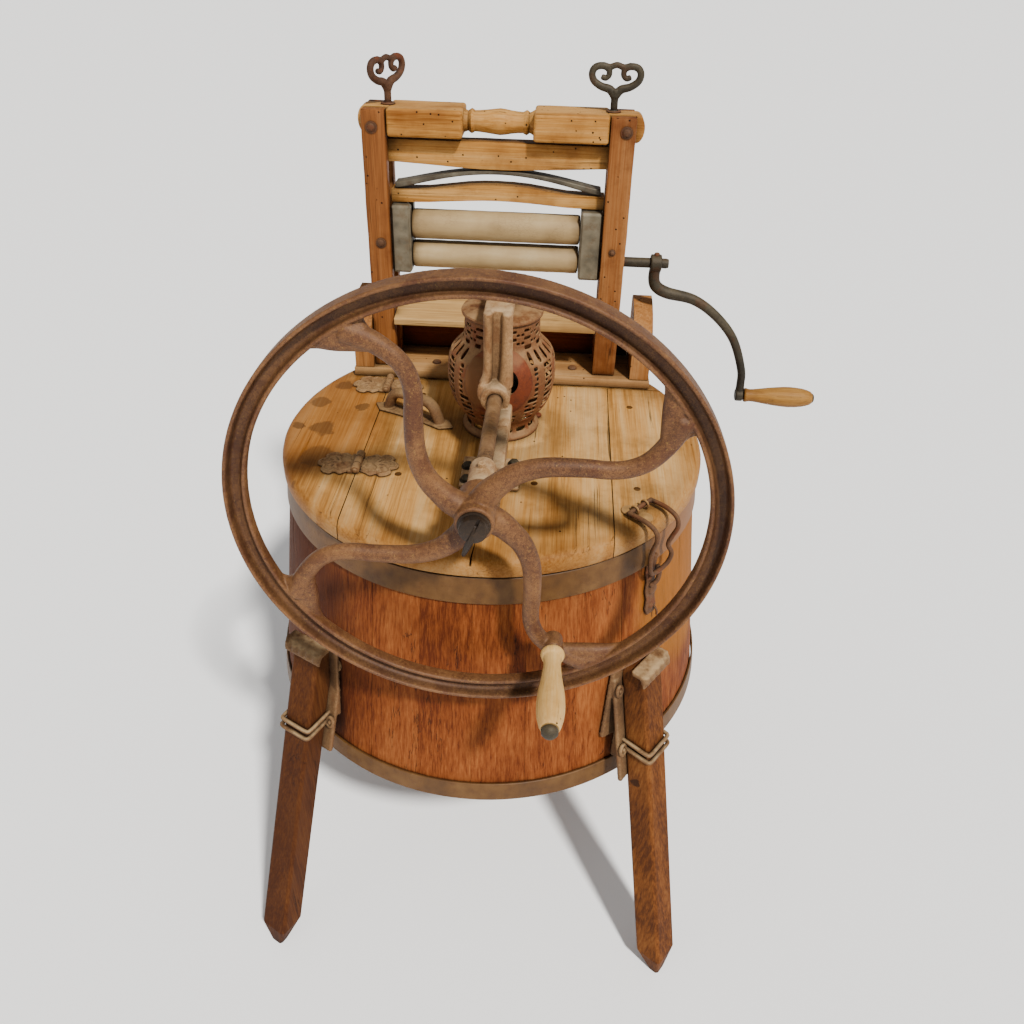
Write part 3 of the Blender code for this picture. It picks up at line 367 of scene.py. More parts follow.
def sweep(points, radius=None, sides=16, up=(0, 0, 1), flat=1.0, loop=False, round_ends=True):
    """Tube along points; radius is one value or each point's fourth value, flat scales it along up."""
    path = [Vector(p[:3]) for p in points]
    radii = [p[3] for p in points] if radius is None else [radius] * len(path)
    n = len(path)
    rings = []
    for k, p in enumerate(path):
        a = path[(k - 1) % n if loop else max(k - 1, 0)]
        b = path[(k + 1) % n if loop else min(k + 1, n - 1)]
        t = (b - a).normalized()
        side = t.cross(Vector(up)).normalized()
        rings.append((p, side, side.cross(t), t, radii[k]))
    if round_ends and not loop:
        for end, sign in ((0, -1), (-1, 1)):
            p, side, top, t, r = rings[end]
            extra = [(p + sign * t * r * 0.5 * math.sin(a), side, top, t, r * math.cos(a))
                     for a in (math.radians(35), math.radians(65))]
            rings = extra[::-1] + rings if end == 0 else rings + extra
    bm = bmesh.new()
    return skin(bm, [[bm.verts.new(p + side * r * math.cos(a) + top * r * flat * math.sin(a))
                      for a in around(sides)] for p, side, top, t, r in rings], loop)


def join(*parts):
    """One bmesh holding all the given ones."""
    target = parts[0]
    for bm in parts[1:]:
        mesh = bpy.data.meshes.new("join")
        bm.to_mesh(mesh)
        target.from_mesh(mesh)
        bm.free()
        bpy.data.meshes.remove(mesh)
    return target


def slice_up(bm, cell):
    """Cuts the mesh by planes along each axis so that no face is much longer than cell."""
    for i in range(3):
        low, high = min(v.co[i] for v in bm.verts), max(v.co[i] for v in bm.verts)
        count = max(1, round((high - low) / cell))
        normal = [1 if j == i else 0 for j in range(3)]
        for k in range(1, count):
            point = [low + (high - low) * k / count if j == i else 0 for j in range(3)]
            bmesh.ops.bisect_plane(bm, geom=bm.verts[:] + bm.edges[:] + bm.faces[:], plane_co=point,
                                   plane_no=normal, dist=1e-6)


def eased(bm, edge, segments=2, cell=0.0):
    """The mesh cut into cells and with rounded edges, where asked."""
    if cell:
        slice_up(bm, cell)
    if edge:
        sharp = [e for e in bm.edges if len(e.link_faces) == 2 and e.calc_face_angle(0) > math.radians(28)]
        bmesh.ops.bevel(bm, geom=sharp, offset=edge, segments=segments, profile=0.5, affect="EDGES",
                        clamp_overlap=True)
    return bm


def box(x, y, z, edge=0.0, segments=2, cell=0.0):
    """Block from (min, max) pairs."""
    bm = bmesh.new()
    bmesh.ops.create_cube(bm, size=1.0)
    for v in bm.verts:
        v.co = [lim[0] if c < 0 else lim[1] for lim, c in zip((x, y, z), v.co)]
    return eased(bm, edge, segments, cell)


def loft(rings, edge=0.0, segments=2, cell=0.0):
    """Solid through rings of points."""
    bm = bmesh.new()
    return eased(skin(bm, [[bm.verts.new(p) for p in ring] for ring in rings]), edge, segments, cell)


def plate(outline, low, high, axis="Z", edge=0.0, segments=2, cell=0.0):
    """Extruded outline: (x, y) for Z, (x, z) for Y, (y, z) for X."""
    place = {"Z": lambda a, b, c: (a, b, c), "Y": lambda a, b, c: (a, c, b), "X": lambda a, b, c: (c, a, b)}[axis]
    return loft([[place(a, b, c) for a, b in outline] for c in (low, high)], edge, segments, cell)


def worn(bm, depth=0.0005, scale=35.0):
    """Uneven, slightly shrunk surface, as of old sawn or cast material."""
    bm.normal_update()
    for v in bm.verts:
        lump = noise.noise(v.co * scale) + 0.5 * noise.noise(v.co * scale * 2.7)
        v.co -= v.normal * depth * (0.6 + 0.6 * lump)
    return bm


def dome(x, y, z, radius, height, axis="Y", sign=-1, segments=20):
    """Round bolt or rivet head standing on a face."""
    section = ((1, 0), (1, 0.25), (0.86, 0.66), (0.5, 0.93))
    centre = {"X": x, "Y": y, "Z": z}[axis]
    flat = {"X": (0, y, z), "Y": (x, 0, z), "Z": (x, y, 0)}[axis]
    profile = [(radius * r, centre + sign * height * h) for r, h in section] + [(0.0004, centre + sign * height)]
    return turned(profile, axis, flat, segments)


def piece(name, bm, mat, body, slot, *nodes, smooth=35, tone=None, voxel=0.0, soften=0):
    """Makes the object, shades it, parents it to its body's empty and hides the frame nodes it stands for."""
    mesh = bpy.data.meshes.new(name)
    bm.to_mesh(mesh)
    bm.free()
    mesh.materials.append(mat)
    mesh.shade_smooth()
    if tone is not None:
        layer = mesh.attributes.new("tone", "FLOAT", "POINT")
        layer.data.foreach_set("value", [tone] * len(mesh.vertices))
    obj = bpy.data.objects.new(name, mesh)
    bpy.context.scene.collection.objects.link(obj)
    if voxel:
        cast = obj.modifiers.new("cast", "REMESH")
        cast.mode, cast.voxel_size, cast.use_smooth_shade = "VOXEL", voxel, True
        rounded = obj.modifiers.new("soften", "SMOOTH")
        rounded.factor, rounded.iterations = 0.5, soften
    else:
        mesh.set_sharp_from_angle(angle=math.radians(smooth))
    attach(obj, body)
    if nodes:
        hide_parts(*nodes)
    return obj


def clipped(bm, keep=(), remove=()):
    """The part of a mesh inside the keep solids and outside the remove solids."""
    holder = bpy.data.objects.new("clip", bpy.data.meshes.new("clip"))
    bm.to_mesh(holder.data)
    bm.free()
    bpy.context.scene.collection.objects.link(holder)
    helpers = []
    for solid, mode in [(s, "INTERSECT") for s in keep] + [(s, "DIFFERENCE") for s in remove]:
        other = bpy.data.objects.new("clipper", bpy.data.meshes.new("clipper"))
        solid.to_mesh(other.data)
        solid.free()
        bpy.context.scene.collection.objects.link(other)
        cut = holder.modifiers.new("clip", "BOOLEAN")
        cut.object, cut.operation, cut.solver = other, mode, "EXACT"
        helpers.append(other)
    bpy.context.view_layer.update()
    result = bmesh.new()
    result.from_object(holder, bpy.context.evaluated_depsgraph_get())
    for obj in [holder] + helpers:
        bpy.data.meshes.remove(obj.data)
    return result


def span(node):
    """(x, y, z) limits of a CAD node as three (min, max) pairs."""
    return list(zip(*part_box(node)))


def dress(node, mat, edge=0.0):
    """Keeps a CAD node's shape and gives it a finished material and softened edges."""
    obj = frame["nodes"][node]
    obj.data.materials.clear()
    obj.data.materials.append(mat)
    if edge:
        obj.modifiers.new("weld", "WELD").merge_threshold = 0.00002
        mod = obj.modifiers.new("edge", "BEVEL")
        mod.width, mod.segments, mod.limit_method = edge, 2, "ANGLE"
        mod.angle_limit, mod.use_clamp_overlap = math.radians(40), True


# ---------------------------------------------------------------- materials
STAVE = wood("stave_varnish", "Z", (98, 48, 28), (141, 80, 49), (172, 108, 68), rings=64, contrast=0.55, stain=0.35,
             stain_colour=(92, 42, 24), rough=(0.68, 0.88), checks=0.7, fibre=1.6,
             # the two dark tints are painted shade on the tub's left side, away from the key light
             spots=(((-0.36, -0.1, 0.46), 0.0, 0.32, 0.6, (66, 30, 16)),
                    ((-0.3, -0.22, 0.62), 0.0, 0.16, 0.35, (66, 30, 16)),
                    # painted light: a lighter patch on the tub's right side, where the key light falls
                    ((0.345, -0.12, 0.56), 0.0, 0.19, 0.6, (178, 120, 62))))
LID = wood("lid_pine", "Y", (164, 112, 62), (222, 168, 106), (242, 200, 142), rings=62, contrast=0.8, stain=0.5,
           stain_colour=(92, 62, 34), rough=(0.5, 0.75), worms=0.06, checks=0.9,
           spots=(((0, 0, LID_TOP), 0.33, 0.6, 0.55, (132, 80, 40)),
                  ((-0.33, 0.0, LID_TOP), 0.0, 0.19, 0.55, (150, 88, 38)),
                  ((-0.262, -0.02, LID_TOP), 0.0, 0.022, 0.6, (70, 46, 28)),
                  ((-0.285, 0.06, LID_TOP), 0.0, 0.018, 0.55, (66, 44, 28)),
                  ((-0.25, -0.097, LID_TOP), 0.0, 0.03, 0.5, (84, 56, 32)),
                  ((-0.215, 0.05, LID_TOP), 0.0, 0.012, 0.6, (64, 44, 28)),
                  ((-0.258, 0.118, LID_TOP), 0.0, 0.016, 0.55, (70, 46, 28)),
                  ((-0.299, -0.015, LID_TOP), 0.0, 0.012, 0.6, (64, 42, 26)),
                  ((-0.275, -0.175, LID_TOP), 0.0, 0.013, 0.5, (74, 50, 30)),
                  ((-0.12, 0.03, LID_TOP), 0.0, 0.075, 0.3, (112, 76, 40)),
                  ((0.02, -0.22, LID_TOP), 0.0, 0.1, 0.25, (150, 92, 44)),
                  ((CASE_X + 0.02, CASE_Y - 0.02, LID_TOP), 0.06, 0.11, 0.35, (84, 54, 30))))
LEG = wood("leg_varnish", "Z", (84, 48, 28), (124, 76, 44), (152, 102, 62), rings=60, contrast=0.6, stain=0.45,
           stain_colour=(78, 44, 26), rough=(0.62, 0.85), checks=0.9, fibre=1.6,
           # the first tint is painted shade on the left leg, away from the key light
           spots=(((-0.28, -0.37, 0.22), 0.0, 0.34, 0.6, (62, 32, 18)),
                  ((0.243, -0.325, 0.315), 0.0, 0.01, 0.8, (40, 22, 12))))
BEECH_Z = wood("stand_beech_upright", "Z", (104, 62, 38), (152, 98, 60), (184, 132, 88), rings=50, contrast=0.8,
               stain=0.75, stain_colour=(98, 50, 28), rough=(0.45, 0.7), worms=0.55, checks=0.7)
BEECH_X = wood("stand_beech_rail", "X", (140, 88, 44), (202, 146, 86), (226, 176, 114), rings=50, contrast=0.85,
               stain=0.6, stain_colour=(128, 74, 40), rough=(0.45, 0.7), worms=0.55, checks=0.7, fibre=1.3)
CHEEK_WOOD = wood("cheek_wood", "Z", (128, 82, 50), (178, 124, 78), (204, 156, 108), rings=50, contrast=0.7,
                  stain=0.4, stain_colour=(120, 72, 42), rough=(0.5, 0.75), worms=0.4, checks=0.7)
PALE_X = wood("drip_pine", "X", (170, 128, 82), (216, 174, 118), (238, 204, 152), rings=50, stain=0.35,
              stain_colour=(120, 80, 44), rough=(0.5, 0.75), worms=0.04)
RED_X = wood("back_board_stain", "X", (84, 38, 20), (124, 64, 36), (152, 86, 50), rings=40, stain=0.4,
             stain_colour=(50, 22, 14), rough=(0.5, 0.75))
GRIP_Y = wood("wheel_grip_wood", "Y", (158, 112, 60), (226, 178, 112), (246, 208, 148), rings=30, stain=0.55,
              stain_colour=(164, 110, 58), rough=(0.4, 0.6), worms=0.6, fibre=0.8, crevice=0.6)
GRIP_X_WOOD = wood("crank_grip_wood", "X", (112, 74, 40), (164, 118, 68), (200, 154, 94), rings=30, stain=0.55,
                   stain_colour=(108, 68, 38), rough=(0.4, 0.6), worms=0.04, fibre=0.8, crevice=0.6)
DOLLY = wood("agitator_wood", "X", (110, 78, 48), (160, 122, 80), (190, 156, 112), rings=40, stain=0.5)
RUST = iron("flywheel_rust", (48, 30, 21), (97, 63, 42), (144, 102, 68), dust=(154, 114, 78), dust_amount=0.22,
            patches=((84, 46, 30), 0.5, 0.5), rough=(0.42, 0.75), speckle=1.5, flecks=(176, 138, 84), crevice=0.62)
DARK = iron("dark_iron", (24, 17, 12), (50, 37, 26), (88, 68, 48), dust=(104, 80, 56), dust_amount=0.12,
            metallic=0.3, rough=(0.35, 0.65))
RUST_DARK = iron("small_iron_rust", (48, 32, 22), (98, 66, 44), (138, 100, 70), dust=(150, 118, 86), dust_amount=0.3,
                 patches=((116, 62, 34), 0.5, 0.6))
LEG_IRON = iron("leg_iron_rust", (70, 50, 34), (128, 94, 64), (174, 140, 100), dust=(206, 176, 134),
                dust_amount=0.75, patches=((124, 80, 50), 0.54, 0.4), crevice=0.6)
DRIVE = iron("drive_dusty_rust", (104, 74, 50), (178, 138, 98), (218, 184, 140), dust=(232, 204, 164),
             dust_amount=0.5, patches=((128, 80, 48), 0.52, 0.55), crevice=0.6)
CASE = iron("case_paint", (82, 49, 31), (134, 90, 58), (172, 126, 84), dust=(194, 158, 116), dust_amount=0.7,
            patches=((128, 64, 40), 0.52, 0.5))
COVER_STAIN = ((DRIVE_X - 0.036, CASE_Y - 0.072, 0.812), 0.0, 0.046, 0.75, (138, 98, 62))
CASE_RED = iron("case_red_paint", (88, 42, 26), (132, 68, 44), (160, 94, 62), dust=(180, 142, 104), dust_amount=0.4,
                patches=((92, 50, 32), 0.5, 0.6), stained=COVER_STAIN)
CRANK = iron("crank_iron", (32, 28, 21), (66, 58, 44), (102, 92, 72), dust=(130, 112, 84), dust_amount=0.25,
             patches=((84, 54, 32), 0.54, 0.5), metallic=0.25, rough=(0.45, 0.8))
SCREW_RUST = iron("screw_rust", (42, 27, 19), (84, 56, 39), (120, 86, 60), patches=((120, 60, 34), 0.5, 0.6))
AXLE_IRON = iron("axle_iron", (72, 50, 34), (128, 94, 62), (172, 136, 96), dust=(196, 160, 120), dust_amount=0.35,
                 patches=((96, 60, 38), 0.52, 0.5))
LATCH_DISC = iron("latch_disc_iron", (92, 62, 38), (152, 112, 72), (192, 152, 104), dust=(198, 156, 104),
                  dust_amount=0.7, patches=((108, 68, 40), 0.5, 0.5), reach=0.006)
LIFT_IRON = iron("lifting_handle_iron", (60, 42, 28), (116, 84, 56), (162, 128, 88), dust=(172, 140, 98),
                 dust_amount=0.5, patches=((104, 66, 40), 0.52, 0.5), crevice=0.6)
HINGE = iron("hinge_iron", (70, 48, 32), (142, 106, 72), (190, 156, 112), dust=(200, 166, 122), dust_amount=0.5,
             patches=((110, 70, 44), 0.52, 0.4), crevice=1.0, crevice_colour=(24, 14, 9), reach=0.006)
PLATFORM = wood("platform_plank_wood", "X", (134, 94, 58), (194, 148, 100), (216, 176, 130), rings=50, contrast=0.7,
                stain=0.45, stain_colour=(128, 82, 50), rough=(0.5, 0.75), worms=0.3, checks=0.6)
STEEL = band_metal("spring_steel", (62, 56, 46), (98, 90, 76), (136, 128, 110), (88, 64, 42), 0.4, 0.3)
HOOP = band_metal("hoop_zinc", (86, 58, 32), (110, 76, 42), (132, 96, 58), (88, 54, 30), 0.45, 0.15, (1, 1, 0.5),
                  # painted light: a lighter patch on the top hoop's right side, where the key light falls
                  ((0.3, -0.11, 0.64), 0.0, 0.135, 0.8, (150, 98, 54)))
ZINC = band_metal("plate_zinc", (88, 82, 68), (130, 120, 100), (160, 150, 128), (112, 84, 54), 0.4, 0.25)
PLUG = wood("plug_wood", "X", (90, 60, 32), (140, 100, 58), (170, 130, 84), rings=20)
FLOOR_WOOD = wood("floor_boards", "X", (78, 50, 30), (124, 90, 58), (150, 116, 80), rings=40, stain=0.5)
RUBBER = rubber("roller_rubber")


# ---------------------------------------------------------------- tub
def tub_r(z):
    return TUB_R_BOTTOM + (TUB_R_TOP - TUB_R_BOTTOM) * (z - TUB_BOTTOM) / (TUB_TOP - TUB_BOTTOM)


def tub_cone(grow):
    return turned([(tub_r(0.25) + grow, 0.25), (tub_r(0.62) + grow, 0.62)], "Z", (0, 0, 0), 120)


STAVES, STAVE_STEPS, STAVE_ROWS = 28, 5, 12
GROOVE, CORNER, JOINT_GAP = 0.0009, 0.0012, 0.00024


def tub_staves():
    """Coopered wall: separate staves, each a little flatter than the circle, with a fine V joint."""
    heights = [TUB_BOTTOM, TUB_BOTTOM + CORNER]
    heights += [TUB_BOTTOM + (TUB_TOP - TUB_BOTTOM) * k / STAVE_ROWS for k in range(1, STAVE_ROWS)]
    heights += [TUB_TOP - CORNER, TUB_TOP]
    width = 2 * math.pi / STAVES
    bm = bmesh.new()
    layer = bm.verts.layers.float.new("tone")
    for k in range(STAVES):
        tone = 0.5 + 0.5 * noise.noise(Vector((k * 3.7, 1.3, 0.4)))
        proud = 0.0005 * noise.noise(Vector((k * 1.9, 7.7, 2.1)))
        rings = []
        for z in heights:
            inset = CORNER if z in (TUB_BOTTOM, TUB_TOP) else 0.0
            r = tub_r(z) - 0.0003 - inset
            outer, inner = [], []
            for j in range(STAVE_STEPS + 1):
                t = j / STAVE_STEPS
                a = width * (k + t)
                dip = GROOVE if j in (0, STAVE_STEPS) else 0.0
                flat = (1 - math.cos((t - 0.5) * width)) * 0.35 * r
                wobble = 0.0003 * noise.noise(Vector((k * 5.1, z * 14, t * 2)))
                face = r - dip - 0.0007 + proud + wobble + flat
                turn = a + JOINT_GAP / r if j == 0 else a
                outer.append((face * math.cos(turn), face * math.sin(turn), z))
                back = tub_r(z) - TUB_WALL + inset
                inner.append((back * math.cos(a), back * math.sin(a), z))
            rings.append([bm.verts.new(p) for p in outer + inner[::-1]])
        for v in (v for ring in rings for v in ring):
            v[layer] = tone
        skin(bm, rings)
    return bm


piece("staved_wall", tub_staves(), STAVE, "tub", "stave_wood", "tub_staves", smooth=40)
dress("tub_floor", FLOOR_WOOD)


def hoop(z0, z1, lap_at):
    """Rolled band with eased edges, a lapped end and two rivets."""
    t, e = 0.003, 0.0008
    mid = (z0 + z1) / 2
    section = [(tub_r(z0) + 0.0003, z0), (tub_r(z0) + t - e, z0), (tub_r(z0 + e) + t, z0 + e),
               (tub_r(mid) + t + 0.0003, mid), (tub_r(z1 - e) + t, z1 - e), (tub_r(z1) + t - e, z1),
               (tub_r(z1) + 0.0003, z1)]
    band = lathe(section, segments=144)
    for v in band.verts:
        a = math.atan2(v.co.y, v.co.x)
        grow = 1 + 0.0009 * noise.noise(Vector((a * 5, v.co.z * 30, 1.0)))
        v.co.x, v.co.y = v.co.x * grow, v.co.y * grow
    lap = [(r + (0.001 if k in (0, len(section) - 1) else 0.0006), z) for k, (r, z) in enumerate(section)]
    parts = [band, lathe(lap, segments=10, arc=(lap_at, lap_at + 9))]
    for da, dz in ((2.2, 0.35), (6.8, 0.65)):
        a, z = math.radians(lap_at + da), z0 + (z1 - z0) * dz
        head = dome(0, 0, 0, 0.0042, 0.0019, "X", 1, 14)
        r = tub_r(z) + t + 0.0004
        head.transform(Matrix.Translation((r * math.cos(a), r * math.sin(a), z)) @ Matrix.Rotation(a, 4, "Z"))
        parts.append(head)
    return join(*parts)


for name, lap_at in (("hoop_top", 118), ("hoop_bottom", 62)):
    low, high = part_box(name)
    piece(name + "_band", hoop(low.z, high.z, lap_at), HOOP, "tub", "hoop_steel", name, smooth=30)


# ---------------------------------------------------------------- lid
def lid_outline(x0, x1, y1):
    """Part of the lid's disc between two straight cuts, from the rear left."""
    edge = LID_R * 0.99999
    a0, a1 = math.acos(max(x0, -edge) / LID_R), math.acos(min(x1, edge) / LID_R)
    angles = [a0 + (a1 - a0) * k / 44 for k in range(45)]
    pts = [(LID_R * math.cos(a), -LID_R * math.sin(a)) for a in angles]
    if x1 >= LID_R:
        rise = math.asin(y1 / LID_R)
        pts += [(LID_R * math.cos(rise * k / 12), LID_R * math.sin(rise * k / 12)) for k in range(1, 13)]
    else:
        pts.append((x1, y1))
    return pts + [(x0, y1)]


def uneven(bm):
    return worn(bm, 0.0006, 18.0)


def rounded_disc():
    """The lid's turned blank: an eased lower arris and a well worn upper one."""
    r, t = LID_R - 0.0004, LID_TOP + 0.0004
    return turned([(0.0004, LID_BOTTOM - 0.001), (r - 0.002, LID_BOTTOM - 0.001), (r, LID_BOTTOM + 0.0025),
                   (r, t - 0.012), (r - 0.0012, t - 0.0075), (r - 0.0042, t - 0.0035), (r - 0.0085, t - 0.0012),
                   (r - 0.014, t - 0.0002), (0.0004, t)], "Z", (0, 0, 0), 180)


def lid_plank(outline):
    plank = plate(outline, LID_BOTTOM, LID_TOP, edge=0.0012, segments=2, cell=0.03)
    return clipped(plank, keep=[rounded_disc()])


KERF, CUT = 0.0008, 0.0004                # half the saw cut round the opening, and between the moving boards
main = lid_plank(lid_outline(LID_SPLIT_X + KERF, LID_JOINT_X - CUT, LID_REAR_Y - KERF))
crack = plate([(-0.004, -0.322), (-0.0016, -0.322), (-0.0004, -0.3), (0.0012, -0.272), (-0.0016, -0.3)],
              LID_TOP - 0.01, LID_TOP + 0.002)
piece("lid_main_plank", uneven(clipped(main, remove=[crack])), LID, "lid", "lid_wood", "lid_board_main", tone=0.66)
right = lid_plank(lid_outline(LID_JOINT_X + CUT, 0.4, LID_REAR_Y - KERF))
piece("lid_right_plank", uneven(right), LID, "lid", "lid_wood", "lid_board_right", tone=0.72)


def fixed_outline():
    """Left segment and the strip behind the opening, in one outline."""
    start = math.acos(LID_SPLIT_X / LID_R)
    total = 2 * math.pi - start - math.asin(LID_REAR_Y / LID_R)
    angles = [-start - total * k / 60 for k in range(61)]
    return [(LID_R * math.cos(a), LID_R * math.sin(a)) for a in angles] + [(LID_SPLIT_X, LID_REAR_Y)]


piece("lid_fixed_plank", uneven(lid_plank(fixed_outline())), LID, "tub", "lid_wood", "lid_fixed_boards", tone=0.2)
for name in ("lid_batten_front", "lid_batten_rear"):
    piece(name + "_bar", worn(box(*span(name), 0.003, cell=0.03)), PALE_X, "lid", "lid_wood", name, tone=0.4)

# wooden plugs over the lid's screws
for k, (x, y) in enumerate(((0.069, 0.104), (-0.125, 0.104), (-0.125, -0.135), (0.07, -0.14), (0.215, -0.14),
                            (0.215, 0.095))):
    plug = turned([(0.0052, LID_TOP - 0.002), (0.0052, LID_TOP - 0.0004), (0.0045, LID_TOP - 0.0001),
                   (0.0004, LID_TOP)], "Z", (x, y, 0), 20)
    piece("lid_plug_%d" % k, plug, PLUG, "lid", "lid_wood")


# ---------------------------------------------------------------- hinges, lifting handle, latch
LEAF_T = 0.0024                           # thickness of a hinge leaf


def leaf(y, sign, z0):
    """Rococo cast leaf: lobed outline, raised rim, shell and screw boss in relief."""
    lobes = [(0.004, -0.018), (0.014, -0.0225), (0.022, -0.028), (0.03, -0.0235), (0.036, -0.0285),
             (0.045, -0.026), (0.051, -0.019), (0.05, -0.011), (0.057, -0.007), (0.0595, 0.0)]
    half = curve(lobes, 4)
    outline = half + [(a, -b) for a, b in reversed(half[:-1])]
    top = z0 + LEAF_T

    def at(a, b, z):
        return (HINGE_X + sign * a, y + b, z)

    parts = [plate([at(a, b, 0)[:2] for a, b in outline], z0, top, edge=0.0007),
             sweep([at(0.029 + (a - 0.029) * 0.86, b * 0.84, top) for a, b in outline], 0.0021, 8, loop=True)]
    for a, b, r in ((0.017, 0.0, 0.005), (0.043, 0.0, 0.0044), (0.03, -0.013, 0.0034), (0.03, 0.013, 0.0034)):
        parts.append(dome(*at(a, b, top - 0.0004), r, 0.0022, "Z", 1, 16))
    for k in range(5):
        a = math.radians(-56 + 28 * k)
        start, stop = (0.024, 0.0), (0.024 + 0.02 * math.cos(a), 0.019 * math.sin(a))
        mid = ((start[0] + stop[0]) / 2, stop[1] / 2 + 0.001 * (-1) ** k)
        rib = [at(*start, top - 0.0002), at(*mid, top + 0.0008), at(*stop, top - 0.0002)]
        parts.append(sweep(curve(rib, 4), 0.0019, 8))
    return join(*parts)


def hinge_knuckle(y0, y1, sign, z0):
    """Barrel segment with its shoulder running down into the leaf."""
    barrel = lathe([(0.0058, y0), (0.0064, y0 + 0.0008), (0.0064, y1 - 0.0008), (0.0058, y1), (0.0018, y1),
                    (0.0018, y0)], "Y", (HINGE_X, 0, HINGE_Z), 28)
    x = sorted((HINGE_X + sign * 0.001, HINGE_X + sign * 0.012))
    shoulder = box(x, (y0, y1), (z0, HINGE_Z - 0.0012), 0.0008)
    return join(barrel, shoulder)


for label in ("front", "rear"):
    low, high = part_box("hinge_fixed_" + label)
    y, z0 = (low.y + high.y) / 2, low.z
    tips = [(0.0016, -0.026), (0.003, -0.0255), (0.0033, -0.024), (0.0016, -0.0238)]
    pin = [(r, y + t) for r, t in tips] + [(r, y - t) for r, t in reversed(tips)]
    still = join(leaf(y, -1, z0), hinge_knuckle(y - 0.0235, y - 0.0088, -1, z0),
                 hinge_knuckle(y + 0.0088, y + 0.0235, -1, z0),
                 turned(pin, "Y", (HINGE_X, 0, HINGE_Z), 20))
    piece("hinge_leaf_fixed_" + label, still, HINGE, "tub", "rusty_iron", "hinge_fixed_" + label, voxel=0.0007,
          soften=2)
    moving = join(leaf(y, 1, z0), hinge_knuckle(y - 0.0082, y + 0.0082, 1, z0))
    piece("hinge_leaf_moving_" + label, moving, HINGE, "lid", "rusty_iron", "hinge_moving_" + label, voxel=0.0007,
          soften=2)


def lifting_handle():
    """Arched bar on a long flat plate with a shaped pad and a screw at each end."""
    a, b = Vector((-0.168, 0.05, LID_TOP)), Vector((-0.088, 0.01, LID_TOP))
    along = (b - a).normalized()
    across = Vector((-along.y, along.x, 0))
    up = Vector((0, 0, 1))
    toe = [(-0.012, -0.009), (0.0, -0.0145), (0.008, -0.011), (0.014, -0.004), (0.0168, 0.0), (0.014, 0.004),
           (0.008, 0.011), (0.0, 0.0145), (-0.012, 0.009)]
    parts = []
    for foot, sign in ((a, -1), (b, 1)):
        pad = [(foot + along * (sign * u) + across * v)[:2] for u, v in toe]
        screw = foot + along * sign * 0.006
        parts += [plate(pad, LID_TOP + 0.0004, LID_TOP + 0.0042, edge=0.0012),
                  dome(screw.x, screw.y, LID_TOP + 0.004, 0.0042, 0.0018, "Z", 1, 18)]
    end = [(0.02, 0.012), (-0.012, 0.015), (-0.03, 0.0), (-0.012, -0.015), (0.02, -0.012)]
    edge = [a + along * u + across * v for u, v in end] + [b - along * u + across * v for u, v in reversed(end)]
    parts.append(plate([p[:2] for p in edge], LID_TOP + 0.0004, LID_TOP + 0.0034, edge=0.001))
    rise = ((-0.004, 0.003), (0.0, 0.014), (0.006, 0.026), (0.014, 0.0325), (0.026, 0.035))
    path = [a + along * u + up * h for u, h in rise] + [b - along * u + up * h for u, h in reversed(rise)]
    parts.append(sweep(curve(path, 5), 0.008, 16, up=tuple(across), flat=1.25, round_ends=False))
    return join(*parts)


piece("lifting_handle", lifting_handle(), LIFT_IRON, "lid", "rusty_iron", "lid_handle", voxel=0.001, soften=4)


def latch(t, r, z):
    """World point from tangential offset, radius and height at the latch."""
    az = math.radians(LATCH_AZ)
    return Vector((r * math.sin(az) + t * math.cos(az), -r * math.cos(az) + t * math.sin(az), z))


eyes = []
for t in (-0.0105, 0.0105):
    eyes.append(sweep(curve([latch(t, LATCH_R + 0.0056 * math.cos(a), LATCH_Z - 0.0012 + 0.0056 * math.sin(a))
                             for a in around(10)], 4, loop=True), 0.0017, 10,
                      up=tuple(latch(1, 0, 0)), loop=True))
for t, r in ((-0.0095, 0.28), (-0.007, 0.3045)):
    c = latch(t, r, 0)
    eyes.append(turned([(0.0108, LID_TOP + 0.0002), (0.0114, LID_TOP + 0.0008), (0.0108, LID_TOP + 0.0018),
                        (0.005, LID_TOP + 0.0022), (0.003, LID_TOP + 0.0036), (0.0004, LID_TOP + 0.0038)], "Z",
                       (c.x, c.y, 0), 32))
piece("latch_eyes", join(*eyes), LATCH_DISC, "lid", "rusty_iron", "latch_plate", smooth=40)
WIRE_R = 0.0034
bail_path = [(-0.0235, LATCH_R + 0.0002, LATCH_Z), (-0.0235, 0.316, LATCH_Z + 0.0012), (-0.023, 0.3345, 0.7095),
             (-0.0225, 0.3395, 0.696), (-0.02, 0.334, 0.678), (-0.0185, 0.3305, 0.663), (-0.0235, 0.3345, 0.648),
             (-0.019, 0.334, 0.635), (-0.0085, 0.333, 0.6295), (0.0, 0.333, 0.629)]
bail_path += [(-t, r, z) for t, r, z in reversed(bail_path[:-1])]
loop = sweep(curve([latch(*p) for p in bail_path], 6), WIRE_R, 14, up=(0.31, -0.22, 0.6), round_ends=False)
pin = sweep([latch(-0.0245, LATCH_R, LATCH_Z), latch(0.0245, LATCH_R, LATCH_Z)], WIRE_R, 14)
piece("latch_wire_bail", join(loop, pin), RUST_DARK, "bail", "rusty_iron", "latch_bail", voxel=0.0008, soften=1)


